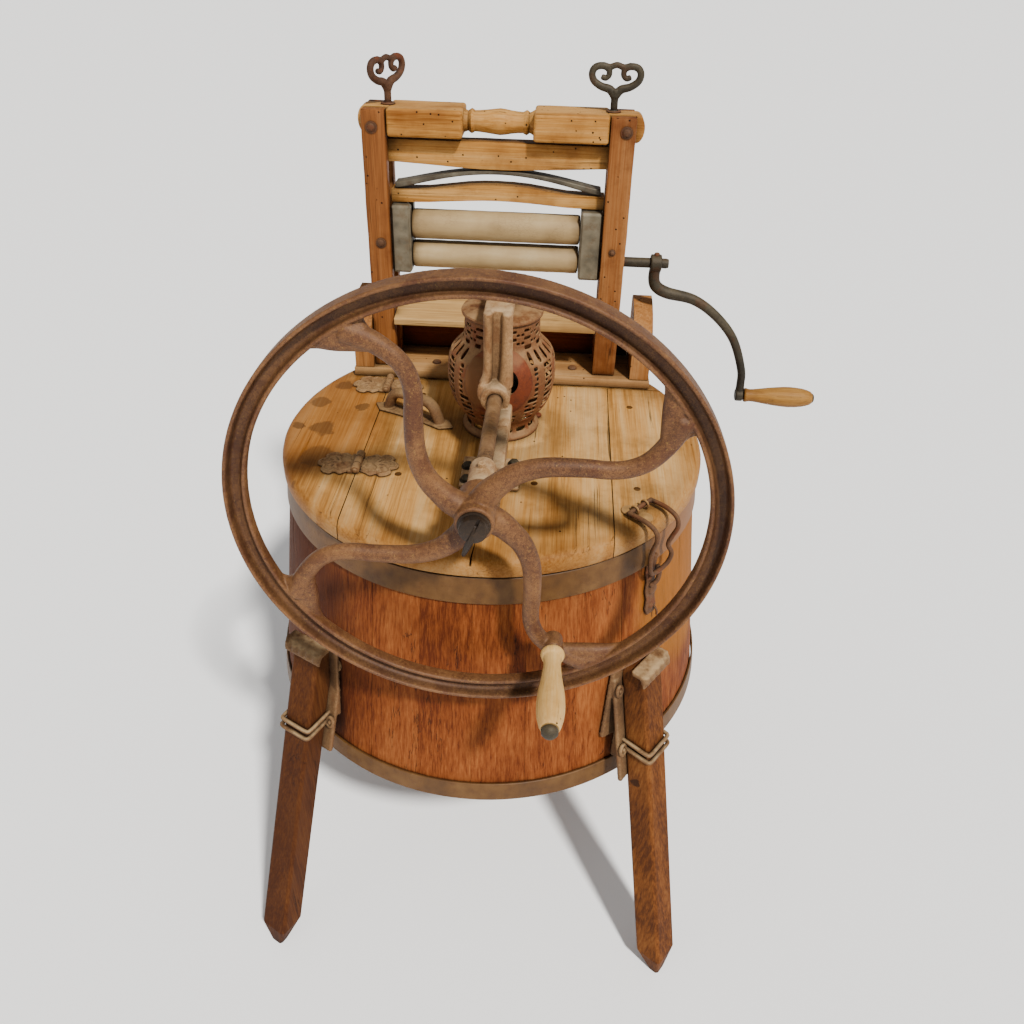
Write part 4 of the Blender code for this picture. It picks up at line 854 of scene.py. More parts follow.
def latch_catch():
    """Cast catch on the wall: shaped plate, lug, cam lever and three screw heads."""
    def wall(t, out, z):
        return latch(t, tub_r(z) + out, z)

    half = [(0.008, 0.549), (0.012, 0.56), (0.009, 0.575), (0.012, 0.59), (0.0085, 0.605), (0.011, 0.62),
            (0.0085, 0.6325)]
    outline = half + [(-t, z) for t, z in reversed(half)]
    lug = [(-0.002, 0.005, 0.628), (-0.002, 0.0085, 0.64), (-0.001, 0.01, 0.652)]
    lever = [(-0.004, 0.006, 0.6), (0.004, 0.011, 0.607), (0.01, 0.0105, 0.618), (0.008, 0.0085, 0.628)]
    parts = [loft([[wall(t, out, z) for t, z in outline] for out in (0.0006, 0.0042)], 0.0008),
             sweep([wall(*p) for p in curve(lug, 5)], 0.0042, 12, up=tuple(latch(1, 0, 0)), flat=1.4),
             sweep([wall(*p) for p in curve(lever, 5)], 0.0036, 12)]
    for t, z, r in ((-0.003, 0.612, 0.0052), (0.002, 0.59, 0.0086), (0.0, 0.561, 0.0046)):
        head = dome(0, 0, 0, r, r * 0.55, "X", 1, 16)
        turn = Matrix.Rotation(math.radians(LATCH_AZ - 90), 4, "Z")
        head.transform(Matrix.Translation(wall(t, 0.004, z)) @ turn)
        parts.append(head)
    return join(*parts)


piece("latch_catch", latch_catch(), RUST_DARK, "tub", "rusty_iron", "latch_hook", voxel=0.0008, soften=1)
nail = sweep(curve([latch(0.006, tub_r(0.556) + o, z) for o, z in
                    ((-0.004, 0.56), (0.004, 0.559), (0.01, 0.554), (0.011, 0.547))], 5), 0.0017, 10)
piece("latch_nail", nail, RUST_DARK, "tub", "rusty_iron", smooth=60)


# ---------------------------------------------------------------- flywheel and its drive line
WHEEL_R = 0.287
WHEEL_FRONT, WHEEL_BACK, SPOKE_Y = -0.385, -0.3585, -0.3705
WHEEL_AT, GRIP_AT = (DRIVE_X, 0, DRIVE_Z), (GRIP_X, 0, GRIP_Z)
SPOKE_TURN = 33.6
# radius on the wheel, degrees from the spoke's own angle, thickness; a flare has its set back in third place
SPOKE = ((0.012, 36, 0.017), (0.03, 30, 0.016), (0.045, 25, 0.0145), (0.07, 18, 0.0128), (0.1, 7.5, 0.0116),
         (0.137, -4, 0.0108), (0.16, -9, 0.0105), (0.182, -11, 0.0105), (0.205, -10.3, 0.0108),
         (0.23, -7, 0.0116), (0.247, -3.8, 0.0132), (0.2565, -2.0, 0.014))
FLARES = (((0.232, -6.5, 0.001, 0.0105), (0.252, 1.5, 0.002, 0.0116), (0.2625, 5.5, 0.004, 0.0088),
           (0.27, 9.5, 0.0062, 0.0056)),
          ((0.24, -5.5, 0.001, 0.0115), (0.256, 0.5, 0.001, 0.011), (0.26, 2.5, 0.002, 0.01)),
          ((0.244, -5.0, 0.001, 0.011), (0.259, -5.5, 0.003, 0.0085), (0.269, -7.5, 0.0062, 0.0056)))


def on_wheel(radius, degrees, y):
    a = math.radians(degrees)
    return (DRIVE_X + radius * math.cos(a), y, DRIVE_Z + radius * math.sin(a))


def flywheel():
    """Channelled rim, S spokes with flared roots, hub barrel and the boss for the grip."""
    r, f, b = WHEEL_R, WHEEL_FRONT, WHEEL_BACK
    rim = [(r - 0.0006, b + 0.0008), (r - 0.0002, b - 0.01), (r - 0.0002, f + 0.002), (r - 0.0012, f + 0.0003),
           (r - 0.0036, f + 0.0003), (r - 0.0047, f + 0.002), (r - 0.0058, f + 0.0115), (r - 0.008, f + 0.0148),
           (r - 0.016, f + 0.0148), (r - 0.019, f + 0.0125), (r - 0.0206, f + 0.0062), (r - 0.0234, f + 0.005),
           (r - 0.0255, f + 0.007), (r - 0.0256, f + 0.012), (r - 0.024, b - 0.0045), (r - 0.0165, b - 0.0003)]
    parts = [lathe(rim, "Y", WHEEL_AT, 192)]
    for k in range(4):
        spoke = [on_wheel(q, SPOKE_TURN + 90 * k + a, SPOKE_Y) + (t,) for q, a, t in SPOKE]
        parts.append(sweep(curve(spoke, 5), sides=20, up=(0, 1, 0), flat=0.92))
        for flare in FLARES:
            root = [on_wheel(q, SPOKE_TURN + 90 * k + a, SPOKE_Y + back) + (t,) for q, a, back, t in flare]
            parts.append(sweep(curve(root, 6), sides=16, up=(0, 1, 0), flat=0.85))
    parts.append(lathe([(0.0103, -0.3365), (0.0225, -0.3365), (0.0243, -0.3385), (0.0243, -0.38), (0.0232, -0.384),
                        (0.0232, -0.3925), (0.0218, -0.3952), (0.0103, -0.3955)], "Y", WHEEL_AT, 56))
    boss = [(0.0056, -0.36), (0.0108, -0.36), (0.0118, -0.3625), (0.0118, -0.382), (0.0108, -0.385), (0.0056, -0.385)]
    parts.append(lathe(boss, "Y", GRIP_AT, 36))
    return join(*parts)


piece("flywheel_casting", flywheel(), RUST, "drive_wheel", "rusty_iron", "flywheel", voxel=0.0014, soften=3)

# axle, hub wedge and slotted hub nut
axle = turned([(0.0088, -0.4008), (0.0099, -0.399), (0.01, -0.396), (0.01, -0.0125), (0.0092, -0.0121)], "Y",
              WHEEL_AT, 40)
piece("axle_shaft", axle, AXLE_IRON, "drive_wheel", "drive_iron", "axle", smooth=40)
WEDGE = ((0.002, -0.404, 0.006, 0.004), (-0.002, -0.406, -0.012, 0.0046), (-0.008, -0.402, -0.028, 0.004),
         (-0.0115, -0.3985, -0.04, 0.0024))
wedge = sweep([(DRIVE_X + x, y, DRIVE_Z + z, r) for x, y, z, r in WEDGE], sides=14, up=(0, 1, 0))
piece("hub_wedge", wedge, DARK, "drive_wheel", "drive_iron", smooth=60)
nut = turned([(0.006, -0.394), (0.0186, -0.3945), (0.0192, -0.3962), (0.0186, -0.398), (0.0168, -0.3986),
              (0.0168, -0.4048), (0.016, -0.4072), (0.0124, -0.4086), (0.005, -0.4092)], "Y", WHEEL_AT, 48)
slot = box((DRIVE_X - 0.019, DRIVE_X + 0.019), (-0.411, -0.4045), (DRIVE_Z - 0.0019, DRIVE_Z + 0.0019))
slot.transform(Matrix.Translation(WHEEL_AT) @ Matrix.Rotation(math.radians(-68), 4, "Y")
               @ Matrix.Translation(-Vector(WHEEL_AT)))
piece("axle_nut", clipped(nut, remove=[slot]), DARK, "drive_wheel", "drive_iron", smooth=40)

# grip on its bolt
WHEEL_GRIP = [(0.0055, -0.3872), (0.0118, -0.3872), (0.0142, -0.3888), (0.015, -0.3925), (0.0136, -0.3968),
              (0.0118, -0.399), (0.011, -0.405), (0.011, -0.413), (0.0128, -0.432), (0.0158, -0.454),
              (0.017, -0.474), (0.0163, -0.488), (0.014, -0.5), (0.0116, -0.5066), (0.01, -0.5076),
              (0.0055, -0.5076)]
piece("wheel_grip_turned", worn(lathe(curve(WHEEL_GRIP, 4), "Y", GRIP_AT, 48), 0.0002, 60), GRIP_Y,
      "wheel_grip", "grip_wood", "wheel_grip", smooth=60, tone=0.5)
bolt = turned([(0.005, -0.3598), (0.005, -0.508), (0.0092, -0.5082), (0.0101, -0.5098), (0.0098, -0.5135),
               (0.0072, -0.5168), (0.003, -0.518)], "Y", GRIP_AT, 36)
piece("wheel_grip_bolt", bolt, CRANK, "drive_wheel", "crank_iron", "grip_bolt", smooth=40)

for node, mat in (("bevel_pinion", CRANK), ("crown_gear", CRANK), ("agitator_spindle", DRIVE)):
    dress(node, mat, 0.0004)
dress("agitator_dolly", DOLLY, 0.0015)


# ---------------------------------------------------------------- perforated gear casing
CASE_PROFILE = ((0.0595, 0.7064), (0.06, 0.709), (0.0598, 0.713), (0.056, 0.7143), (0.0533, 0.7165),
                (0.053, 0.726), (0.056, 0.733), (0.064, 0.742), (0.0705, 0.752), (0.0755, 0.764),
                (0.0792, 0.778), (0.081, 0.793), (0.0813, 0.806), (0.0805, 0.818), (0.079, 0.828),
                (0.0762, 0.8365), (0.07, 0.844), (0.0625, 0.85), (0.058, 0.857), (0.0562, 0.866),
                (0.0557, 0.88), (0.0556, 0.893))
CASE_CELLS, CASE_GROUP = 140, 10          # cells around, and cells in one repeat of the pattern
CASE_ROW_STEP = 0.0045                    # height of a plain row of cells
COVER_Z, COVER_R, COVER_HOLE_X, COVER_HOLE_R = 0.812, 0.0496, DRIVE_X + 0.008, 0.0215
SLOTS = {"slot": (2, 3, 4, 5, 6, 7), "dots": (2, 3, 6, 7), "fins": (0, 1, 5, 6), "neck": (5, 6, 7, 8, 9),
         "neckdots": (0, 1, 3, 4), "base": (2, 3, 4, 5, 6, 7, 8)}
CASE_ROWS = ((0.719, 0.724, "base"), (0.744, 0.75, "slot"), (0.754, 0.758, "dots"), (0.7615, 0.7675, "slot"),
             (0.771, 0.775, "dots"), (0.7785, 0.7845, "slot"), (0.788, 0.792, "dots"), (0.7955, 0.8015, "slot"),
             (0.805, 0.809, "dots"), (0.8125, 0.8185, "slot"), (0.8215, 0.8255, "dots"), (0.8285, 0.8335, "slot"),
             (0.838, 0.852, "fins"), (0.857, 0.8615, "neck"), (0.8645, 0.8675, "neckdots"),
             (0.8705, 0.8745, "neck"), (0.8772, 0.8802, "neckdots"), (0.8825, 0.886, "neck"))


def case_r(z):
    for (r0, z0), (r1, z1) in zip(CASE_PROFILE, CASE_PROFILE[1:]):
        if z <= z1:
            return r0 + (r1 - r0) * (z - z0) / (z1 - z0)
    return CASE_PROFILE[-1][0]


def gear_casing():
    """Thin perforated shell: a grid on the turned profile with the cells of each row's pattern left out."""
    levels = [(CASE_PROFILE[0][1], None)]
    for z0, z1, kind in CASE_ROWS:
        start = levels[-1][0]
        steps = max(1, round((z0 - start) / CASE_ROW_STEP))
        levels += [(start + (z0 - start) * k / steps, None) for k in range(1, steps)]
        levels += [(z0, kind), (z1, None)]
    levels += [(0.889, None), (0.893, None)]
    bm = bmesh.new()
    rings = []
    for z, _ in levels:
        r = case_r(z)
        rings.append([bm.verts.new((CASE_X + r * math.sin(a), CASE_Y - r * math.cos(a), z))
                      for a in around(CASE_CELLS)])
    for low, high, (_, kind) in zip(rings, rings[1:], levels):
        for k in range(CASE_CELLS):
            n = (k + 1) % CASE_CELLS
            corners = (low[k], low[n], high[n], high[k])
            mid = sum((v.co for v in corners), Vector()) / 4
            front = mid.y < CASE_Y - 0.03
            at_axle = front and math.hypot(mid.x - COVER_HOLE_X, mid.z - DRIVE_Z) < COVER_HOLE_R + 0.001
            at_cover = front and math.hypot(mid.x - DRIVE_X, mid.z - COVER_Z) < COVER_R + 0.005
            pierced = kind and k % CASE_GROUP in SLOTS[kind] and not at_cover
            if not at_axle and not pierced:
                bm.faces.new(corners)
    bmesh.ops.delete(bm, geom=[v for v in bm.verts if not v.link_faces], context="VERTS")
    bmesh.ops.recalc_face_normals(bm, faces=bm.faces)
    return bm


case = piece("gear_casing_shell", gear_casing(), CASE, "lid", "case_iron", "gear_casing", smooth=60)
thick = case.modifiers.new("wall", "SOLIDIFY")
thick.thickness, thick.offset = 0.0024, -1.0
rounding = case.modifiers.new("round", "SUBSURF")
rounding.levels = rounding.render_levels = 1


def casing_cover():
    """Round inspection plate that follows the belly, with an eased rim and the axle hole."""
    rings = []
    for t, lift in ((0.0, -0.0012), (0.0, 0.0016), (0.25, 0.0018), (0.5, 0.0018), (0.75, 0.0018), (0.93, 0.0018),
                    (0.975, 0.0013), (1.0, 0.0002), (1.0, -0.0016)):
        ring = []
        for a in around(96):
            inner_x, inner_z = COVER_HOLE_X + COVER_HOLE_R * math.cos(a), DRIVE_Z + COVER_HOLE_R * math.sin(a)
            outer_x, outer_z = DRIVE_X + COVER_R * math.cos(a), COVER_Z + COVER_R * math.sin(a)
            x, z = inner_x + (outer_x - inner_x) * t, inner_z + (outer_z - inner_z) * t
            y = CASE_Y - math.sqrt(max(case_r(z) ** 2 - (x - CASE_X) ** 2, 0)) - lift
            ring.append((x, y, z))
        rings.append(ring)
    bm = bmesh.new()
    return skin(bm, [[bm.verts.new(p) for p in ring] for ring in rings], loop=True)


piece("casing_cover_plate", casing_cover(), CASE_RED, "lid", "case_iron", "casing_cover", smooth=40)
cap = lathe([(0.0112, 0.8936), (0.0575, 0.8936), (0.0598, 0.895), (0.0603, 0.8975), (0.0592, 0.8998), (0.056, 0.9012),
             (0.044, 0.9032), (0.03, 0.9052), (0.018, 0.9066), (0.0112, 0.9069)], origin=(CASE_X, CASE_Y, 0),
            segments=96)
piece("casing_cap_lid", worn(cap, 0.0003, 40), CASE, "lid", "case_iron", "casing_cap", smooth=35)
for k in range(3):
    a = math.radians(-120 + 120 * k + 25)
    ear = turned([(0.006, 0.7066), (0.0066, 0.708), (0.006, 0.71), (0.0004, 0.7104)], "Z",
                 (CASE_X + 0.0625 * math.cos(a), CASE_Y + 0.0625 * math.sin(a), 0), 20)
    piece("casing_foot_screw_%d" % k, ear, CASE_RED, "lid", "case_iron", smooth=40)


# ---------------------------------------------------------------- drive bracket
def drive_bracket():
    """Two round ribs with a web set back between them, top block and eye, forked lug, strut, bearings, foot."""
    z_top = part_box("drive_bracket")[1].z
    y = -0.085
    left = curve([(-0.002, y, z_top - 0.009, 0.0068), (-0.002, y, 0.905, 0.0066), (-0.0015, y, 0.868, 0.0066),
                  (-0.0025, y - 0.001, 0.846, 0.007), (-0.006, y - 0.003, 0.834, 0.0078)], 6)
    right = curve([(0.024, y, z_top - 0.009, 0.0075), (0.024, y, 0.905, 0.0078), (0.024, y, 0.87, 0.0086),
                   (0.0235, y, 0.846, 0.01), (0.0225, y, 0.832, 0.011)], 6)
    parts = [sweep(left, sides=20, up=(0, 1, 0), flat=1.35), sweep(right, sides=20, up=(0, 1, 0), flat=1.3),
             box((0.0, 0.02), (y + 0.001, y + 0.0085), (0.826, z_top - 0.006), 0.001),
             sweep(curve([(-0.0085, y - 0.01, 0.833, 0.0062), (-0.0105, y - 0.013, 0.824, 0.0052),
                          (-0.01, y - 0.014, 0.815, 0.0034)], 5), sides=14, up=(0, 1, 0)),
             sweep(curve([(-0.0015, y - 0.012, 0.833, 0.0058), (-0.003, y - 0.015, 0.823, 0.0046),
                          (-0.003, y - 0.015, 0.814, 0.003)], 5), sides=14, up=(0, 1, 0)),
             lathe([(0.0106, -0.1085), (0.015, -0.1095), (0.0196, -0.108), (0.0207, -0.105), (0.0207, -0.0735),
                    (0.0195, -0.069), (0.0106, -0.069)], "Y", (DRIVE_X, 0, DRIVE_Z), 48),
             box((-0.008, 0.031), (y + 0.003, CASE_Y - 0.016), (z_top - 0.021, z_top - 0.0045), 0.003, 3),
             lathe([(0.0106, z_top - 0.03), (0.0215, z_top - 0.03), (0.0228, z_top - 0.028), (0.0228, z_top - 0.002),
                    (0.0212, z_top - 0.0003), (0.0106, z_top - 0.0003)], origin=(CASE_X, CASE_Y, 0), segments=48),
             lathe([(0.0106, -0.3255), (0.0152, -0.3255), (0.0166, -0.324), (0.0166, -0.279), (0.0154, -0.2765),
                    (0.0106, -0.2765)], "Y", (DRIVE_X, 0, DRIVE_Z), 40),
             box((0.016, 0.0332), (-0.317, -0.15), (0.7835, 0.8045), 0.0028, 3),
             box((0.015, 0.0338), (-0.15, -0.087), (0.7825, 0.8055), 0.005, 3),
             box((0.002, 0.0318), (-0.315, -0.285), (0.789, 0.81), 0.004, 3),
             sweep(curve([(0.023, -0.118, 0.79, 0.0085), (0.0228, -0.122, 0.76, 0.008),
                          (0.02, -0.126, 0.735, 0.0088), (0.015, -0.128, 0.716, 0.011)], 6), sides=18,
                   up=(0, 1, 0)),
             box((-0.035, 0.049), (-0.165, -0.089), (LID_TOP + 0.0005, 0.7135), 0.0024, 3),
             turned([(0.0004, 0.835), (0.0046, 0.835), (0.0052, 0.8362), (0.005, 0.8405), (0.003, 0.8412),
                     (0.0004, 0.8395)], "Z", (DRIVE_X, -0.301, 0), 20),
             sweep([(DRIVE_X, -0.301, 0.826, 0.0062), (DRIVE_X, -0.301, 0.836, 0.005)], sides=16, up=(0, 1, 0))]
    return join(*parts)


piece("drive_bracket_casting", drive_bracket(), DRIVE, "lid", "drive_iron", "drive_bracket", voxel=0.0011, soften=2)
for k, (x, y) in enumerate(((-0.0255, -0.152), (-0.0265, -0.118), (0.039, -0.15), (0.039, -0.105))):
    head = turned([(0.0068, 0.7132), (0.0075, 0.7145), (0.0075, 0.718), (0.0066, 0.7196), (0.0004, 0.7204)],
                  "Z", (x, y, 0), 6)
    washer = turned([(0.0004, 0.713), (0.0092, 0.713), (0.0094, 0.7142), (0.0004, 0.7146)], "Z", (x, y, 0), 28)
    piece("bracket_bolt_%d" % k, join(eased(head, 0.0006), washer), CRANK, "lid", "drive_iron", smooth=30)


# ---------------------------------------------------------------- legs and their irons
def leg_ring(spin, mirror, z, half_side, half_out, shift, slide, chamfer):
    """Rectangle with cut corners around a leg's centre line at one height."""
    t = z / LEG_HIP_Z
    az = math.atan2(mirror * LEG_HIP[0], -LEG_HIP[1]) + math.radians(LEG_TWIST)
    out = Vector((math.sin(az), -math.cos(az), 0))
    side = Vector((math.cos(az), math.sin(az), 0))
    mid = Vector((mirror * (LEG_FOOT[0] + (LEG_HIP[0] - LEG_FOOT[0]) * t),
                  LEG_FOOT[1] + (LEG_HIP[1] - LEG_FOOT[1]) * t, z)) + shift * out - mirror * slide * side
    s, o, c = half_side, half_out, chamfer
    corners = ((s - c, o), (s, o - c), (s, -o + c), (s - c, -o), (-s + c, -o), (-s, -o + c), (-s, o - c), (-s + c, o))
    turn = Matrix.Rotation(spin, 3, "Z")
    return [turn @ (mid + a * side + b * out) for a, b in corners]


def leg_point(spin, mirror, z, side, out, slide=0.0):
    """One point beside a leg: along its width, and away from the tub."""
    ring = leg_ring(spin, mirror, z, 1.0, 1.0, 0.0, slide, 0.0)
    mid = (ring[0] + ring[4]) / 2
    return mid + (ring[0] - ring[6]) / 2 * side + (ring[0] - ring[2]) / 2 * out


def leg_block(spin, mirror, z0, z1, side, back, front, slide=0.0, edge=0.0012):
    """Block around a leg from z0 to z1; back and front are its reach towards the tub and away from it."""
    steps = 6
    rings = [leg_ring(spin, mirror, z0 + (z1 - z0) * k / steps, side, (front + back) / 2, (front - back) / 2, slide,
                      0.0015) for k in range(steps + 1)]
    return loft(rings, edge)


for leg_name, spin, mirror in (("fl", 0, -1), ("fr", 0, 1), ("rl", math.pi, 1), ("rr", math.pi, -1)):
    dress("leg_" + leg_name, LEG, 0.0016)
    leg = (spin, mirror)
    half_w, half_t, top = LEG_W / 2, LEG_T / 2, LEG_TOP_Z
    pad = clipped(leg_block(*leg, 0.372, top + 0.002, half_w + 0.008, 0.085, 0.01, 0.0075),
                  keep=[tub_cone(0.0075)], remove=[tub_cone(0.0018)])
    slab = clipped(leg_block(*leg, 0.319, top - 0.02, half_w + 0.011, half_t + 0.006, -half_t + 0.001, 0.0041),
                   remove=[tub_cone(0.0018)])
    web = clipped(leg_block(*leg, 0.3263, 0.4217, 0.012, 0.086, -half_t - 0.0023, 0.0012), remove=[tub_cone(0.0018)])
    cap = leg_block(*leg, top - 0.0115, top + 0.006, half_w + 0.0105, -0.0222, 0.0262, 0, 0.002)
    lip = leg_block(*leg, top + 0.0008, top + 0.0072, half_w + 0.0115, -0.006, 0.0262, 0, 0.0026)
    curl = sweep([tuple(leg_point(*leg, top + 0.0035, u, 0.0232 - 0.0016 * abs(u / 0.03) ** 2)) + (0.0042,)
                  for u in (-0.0315, -0.021, -0.0105, 0, 0.0105, 0.021, 0.0315)], sides=14)
    scallops = [sweep([tuple(leg_point(*leg, top + 0.002, u, 0.0238)) + (0.0072,),
                       tuple(leg_point(*leg, top - 0.006, u, 0.0246)) + (0.0064,)], sides=14)
                for u in (-0.0264 + 0.0132 * k for k in range(5))]
    piece("leg_iron_plate_" + leg_name, join(pad, slab, web, cap, lip, curl, *scallops), LEG_IRON, "tub",
          "rusty_iron", "leg_iron_" + leg_name, voxel=0.0017, soften=2)
    for k, z in enumerate((0.365, 0.376)):
        a, b = half_w + 0.0032, half_t + 0.0032
        wire = [leg_point(*leg, z + tilt, u * a, v * b) for u, v, tilt in
                ((-1.0, -1.0, 0.002), (-1.0, 0.0, 0.001), (-1.0, 0.75, 0), (-0.86, 1.0, 0), (0, 1.0, -0.0005),
                 (0.86, 1.0, 0), (1.0, 0.75, 0), (1.0, 0.0, 0.001), (1.0, -1.0, 0.002))]
        loop = sweep(curve([tuple(p) + (0.0031,) for p in wire], 4), sides=10)
        piece("leg_wire_%s_%d" % (leg_name, k), loop, LEG_IRON, "tub", "rusty_iron", smooth=60)
    for k, (z, r) in enumerate(((0.456, 0.0062), (0.368, 0.0066))):
        side = -mirror * 0.033
        ring = [tuple(leg_point(*leg, z + r * math.sin(a), side - mirror * r * math.cos(a) * 0.9,
                                -0.0165)) for a in around(10)]
        eye = sweep(curve(ring, 3, loop=True), 0.003, 12, loop=True)
        pin = sweep([tuple(leg_point(*leg, z, side, -0.022)) + (0.0042,),
                     tuple(leg_point(*leg, z, side, -0.014)) + (0.0034,)], sides=14)
        piece("leg_lug_%s_%d" % (leg_name, k), join(eye, pin), LEG_IRON, "tub", "rusty_iron", smooth=60)


# ---------------------------------------------------------------- mangle stand
PLANK_TOP = 0.722
UP_L, UP_R = (-0.2153, -0.1786), (0.153, 0.1911)
UP_FRONT, UP_REAR = (0.17, 0.19), (0.222, 0.242)
UP_TOP, RAIL_Z, SCREWS_X = 1.139, (1.099, 1.141), (-0.179, 0.157)

for x, y in ((-0.113, 0.191), (0.12, 0.194)):
    piece("platform_bolt_%.0f" % (x * 1000 + 500), dome(x, y, PLANK_TOP - 0.0003, 0.0075, 0.004, "Z", 1), RUST_DARK,
          "tub", "rusty_iron", smooth=50)
platform = box(*span("platform_board"), 0.0024, 2, cell=0.02)
piece("platform_plank", worn(platform, 0.0006, 22), PLATFORM, "tub", "frame_wood", "platform_board", tone=0.42)
knot = turned([(0.0004, PLANK_TOP + 0.0002), (0.0032, PLANK_TOP + 0.0002), (0.0036, PLANK_TOP + 0.0006),
               (0.0052, PLANK_TOP + 0.0004), (0.0058, PLANK_TOP - 0.0002)], "Z", (-0.21, 0.205, 0), 24)
piece("platform_knot", knot, RUST_DARK, "tub", "rusty_iron", smooth=40)

CHEEK = [(0.16, 0.7225), (0.262, 0.7225), (0.262, 0.828), (0.2575, 0.8345), (0.25, 0.838), (0.232, 0.8385),
         (0.214, 0.835), (0.196, 0.827), (0.18, 0.817), (0.168, 0.808), (0.16, 0.798)]
for side, sign, tone in (("left", -1, 0.7), ("right", 1, 0.85)):
    low, high = sorted((sign * 0.2158, sign * 0.2475))
    cheek = plate(CHEEK, low, high, "X", 0.005, 3, cell=0.012)
    piece("cheek_board_" + side, worn(cheek, 0.0007, 24), CHEEK_WOOD, "tub", "frame_wood", "cheek_" + side, tone=tone)
piece("back_board_plank", worn(box((-0.215, 0.215), (0.25, 0.264), (PLANK_TOP + 0.0004, 0.768), 0.0022, 2,
                                   cell=0.012), 0.0006, 22), RED_X, "tub", "frame_wood", "back_board", tone=0.5)
POSTS = (("left", UP_L, "front", UP_FRONT, 0.62), ("left", UP_L, "rear", UP_REAR, 0.3),
         ("right", UP_R, "front", UP_FRONT, 0.45), ("right", UP_R, "rear", UP_REAR, 0.7))
for k, (side, xs, place, ys, tone) in enumerate(POSTS):
    post = box(xs, ys, (PLANK_TOP + 0.0004, UP_TOP), 0.0024, 2, cell=0.01)
    piece("upright_post_%s_%s" % (place, side), worn(post, 0.0008, 16 + k), BEECH_Z, "tub", "frame_wood",
          "upright_%s_%s" % (place, side), tone=tone)
for name, x, z, r in (("tl", -0.199, 1.1135, 0.0078), ("tr", 0.177, 1.119, 0.0078), ("bl", -0.194, 0.9374, 0.0072),
                      ("br", 0.17, 0.9375, 0.0046)):
    ring = lathe([(r * 0.55, UP_FRONT[0] + 0.0002), (r * 1.12, UP_FRONT[0] + 0.0002),
                  (r * 1.16, UP_FRONT[0] - 0.0008), (r * 1.02, UP_FRONT[0] - 0.0013),
                  (r * 0.55, UP_FRONT[0] - 0.001)], "Y", (x, 0, z), 28)
    head = dome(x, UP_FRONT[0] - 0.0006, z, r * 0.82, 0.0036, "Y", -1)
    piece("stand_bolt_" + name, join(ring, head), RUST_DARK, "tub", "rusty_iron", smooth=50)

DRIP = [(0.16, 0.802), (0.16, 0.814), (0.19, 0.8185), (0.22, 0.8225), (0.249, 0.826), (0.249, 0.814), (0.22, 0.8105),
        (0.19, 0.8065)]
piece("drip_plank", worn(plate(DRIP, UP_L[1] + 0.0004, UP_R[0] - 0.0004, "X", 0.002, 2, cell=0.012), 0.0005,
                         24), PALE_X, "tub", "lid_wood", "drip_board", tone=0.6)


def screw_hole(x):
    return turned([(0.007, 1.08), (0.007, 1.16)], "Z", (x, MID_Y, 0), 28)


def top_rail():
    """Two blocks with a lathe-turned waist between them and half round tongues through the uprights."""
    mid_z = (RAIL_Z[0] + RAIL_Z[1]) / 2
    r = (RAIL_Z[1] - RAIL_Z[0]) / 2
    parts = []
    for x0, x1, outer, screw in ((UP_L[1] + 0.0004, -0.064, -0.2238, SCREWS_X[0]),
                                 (0.04, UP_R[0] - 0.0004, 0.2048, SCREWS_X[1])):
        block = box((x0, x1), (0.1708, 0.2412), (RAIL_Z[0] + 0.0003, RAIL_Z[1] - 0.0003), 0.0052, 3, cell=0.01)
        parts.append(clipped(block, remove=[screw_hole(screw)]))
        s = 1 if outer > 0 else -1
        arc = [(outer - s * 0.0125 * (1 - math.cos(a)), mid_z + (r - 0.0003) * math.sin(a))
               for a in (math.radians(-90 + 15 * k) for k in range(13))]
        inner_x = x0 + 0.004 if s < 0 else x1 - 0.004
        arc += [(inner_x, RAIL_Z[1] - 0.0003), (inner_x, RAIL_Z[0] + 0.0003)]
        tongue = plate(arc, UP_FRONT[1] + 0.0005, UP_REAR[0] - 0.0005, "Y", 0.0024, 2)
        parts.append(clipped(tongue, remove=[screw_hole(screw)]))
    waist = [(0.01, -0.0745), (0.019, -0.074), (0.0204, -0.0725), (0.0204, -0.0695), (0.0186, -0.0665),
             (0.0164, -0.063), (0.015, -0.0585), (0.0168, -0.056), (0.0184, -0.053), (0.017, -0.05),
             (0.0155, -0.048), (0.016, -0.041), (0.017, -0.03), (0.0184, -0.02), (0.0194, -0.011),
             (0.0186, -0.003), (0.017, 0.006), (0.0159, 0.016), (0.0155, 0.0235), (0.0168, 0.0262),
             (0.0184, 0.029), (0.017, 0.0318), (0.0151, 0.034), (0.0164, 0.0365), (0.0182, 0.0395),
             (0.0202, 0.043), (0.0204, 0.046), (0.019, 0.0475), (0.01, 0.048)]
    parts.append(turned(waist, "X", (0, MID_Y, 1.1205), 64))
    return join(*parts)


piece("top_rail_turned", worn(top_rail(), 0.0006, 26), BEECH_X, "tub", "frame_wood", "top_rail", smooth=40, tone=0.66)
for side, x in (("left", SCREWS_X[0]), ("right", SCREWS_X[1])):
    bush = lathe([(0.0067, RAIL_Z[1] - 0.001), (0.0104, RAIL_Z[1] - 0.001), (0.0108, RAIL_Z[1] + 0.0008),
                  (0.0098, RAIL_Z[1] + 0.0018), (0.0067, RAIL_Z[1] + 0.0018)], origin=(x, MID_Y, 0), segments=36)
    piece("screw_bush_" + side, bush, RUST_DARK, "tub", "rusty_iron", smooth=40)


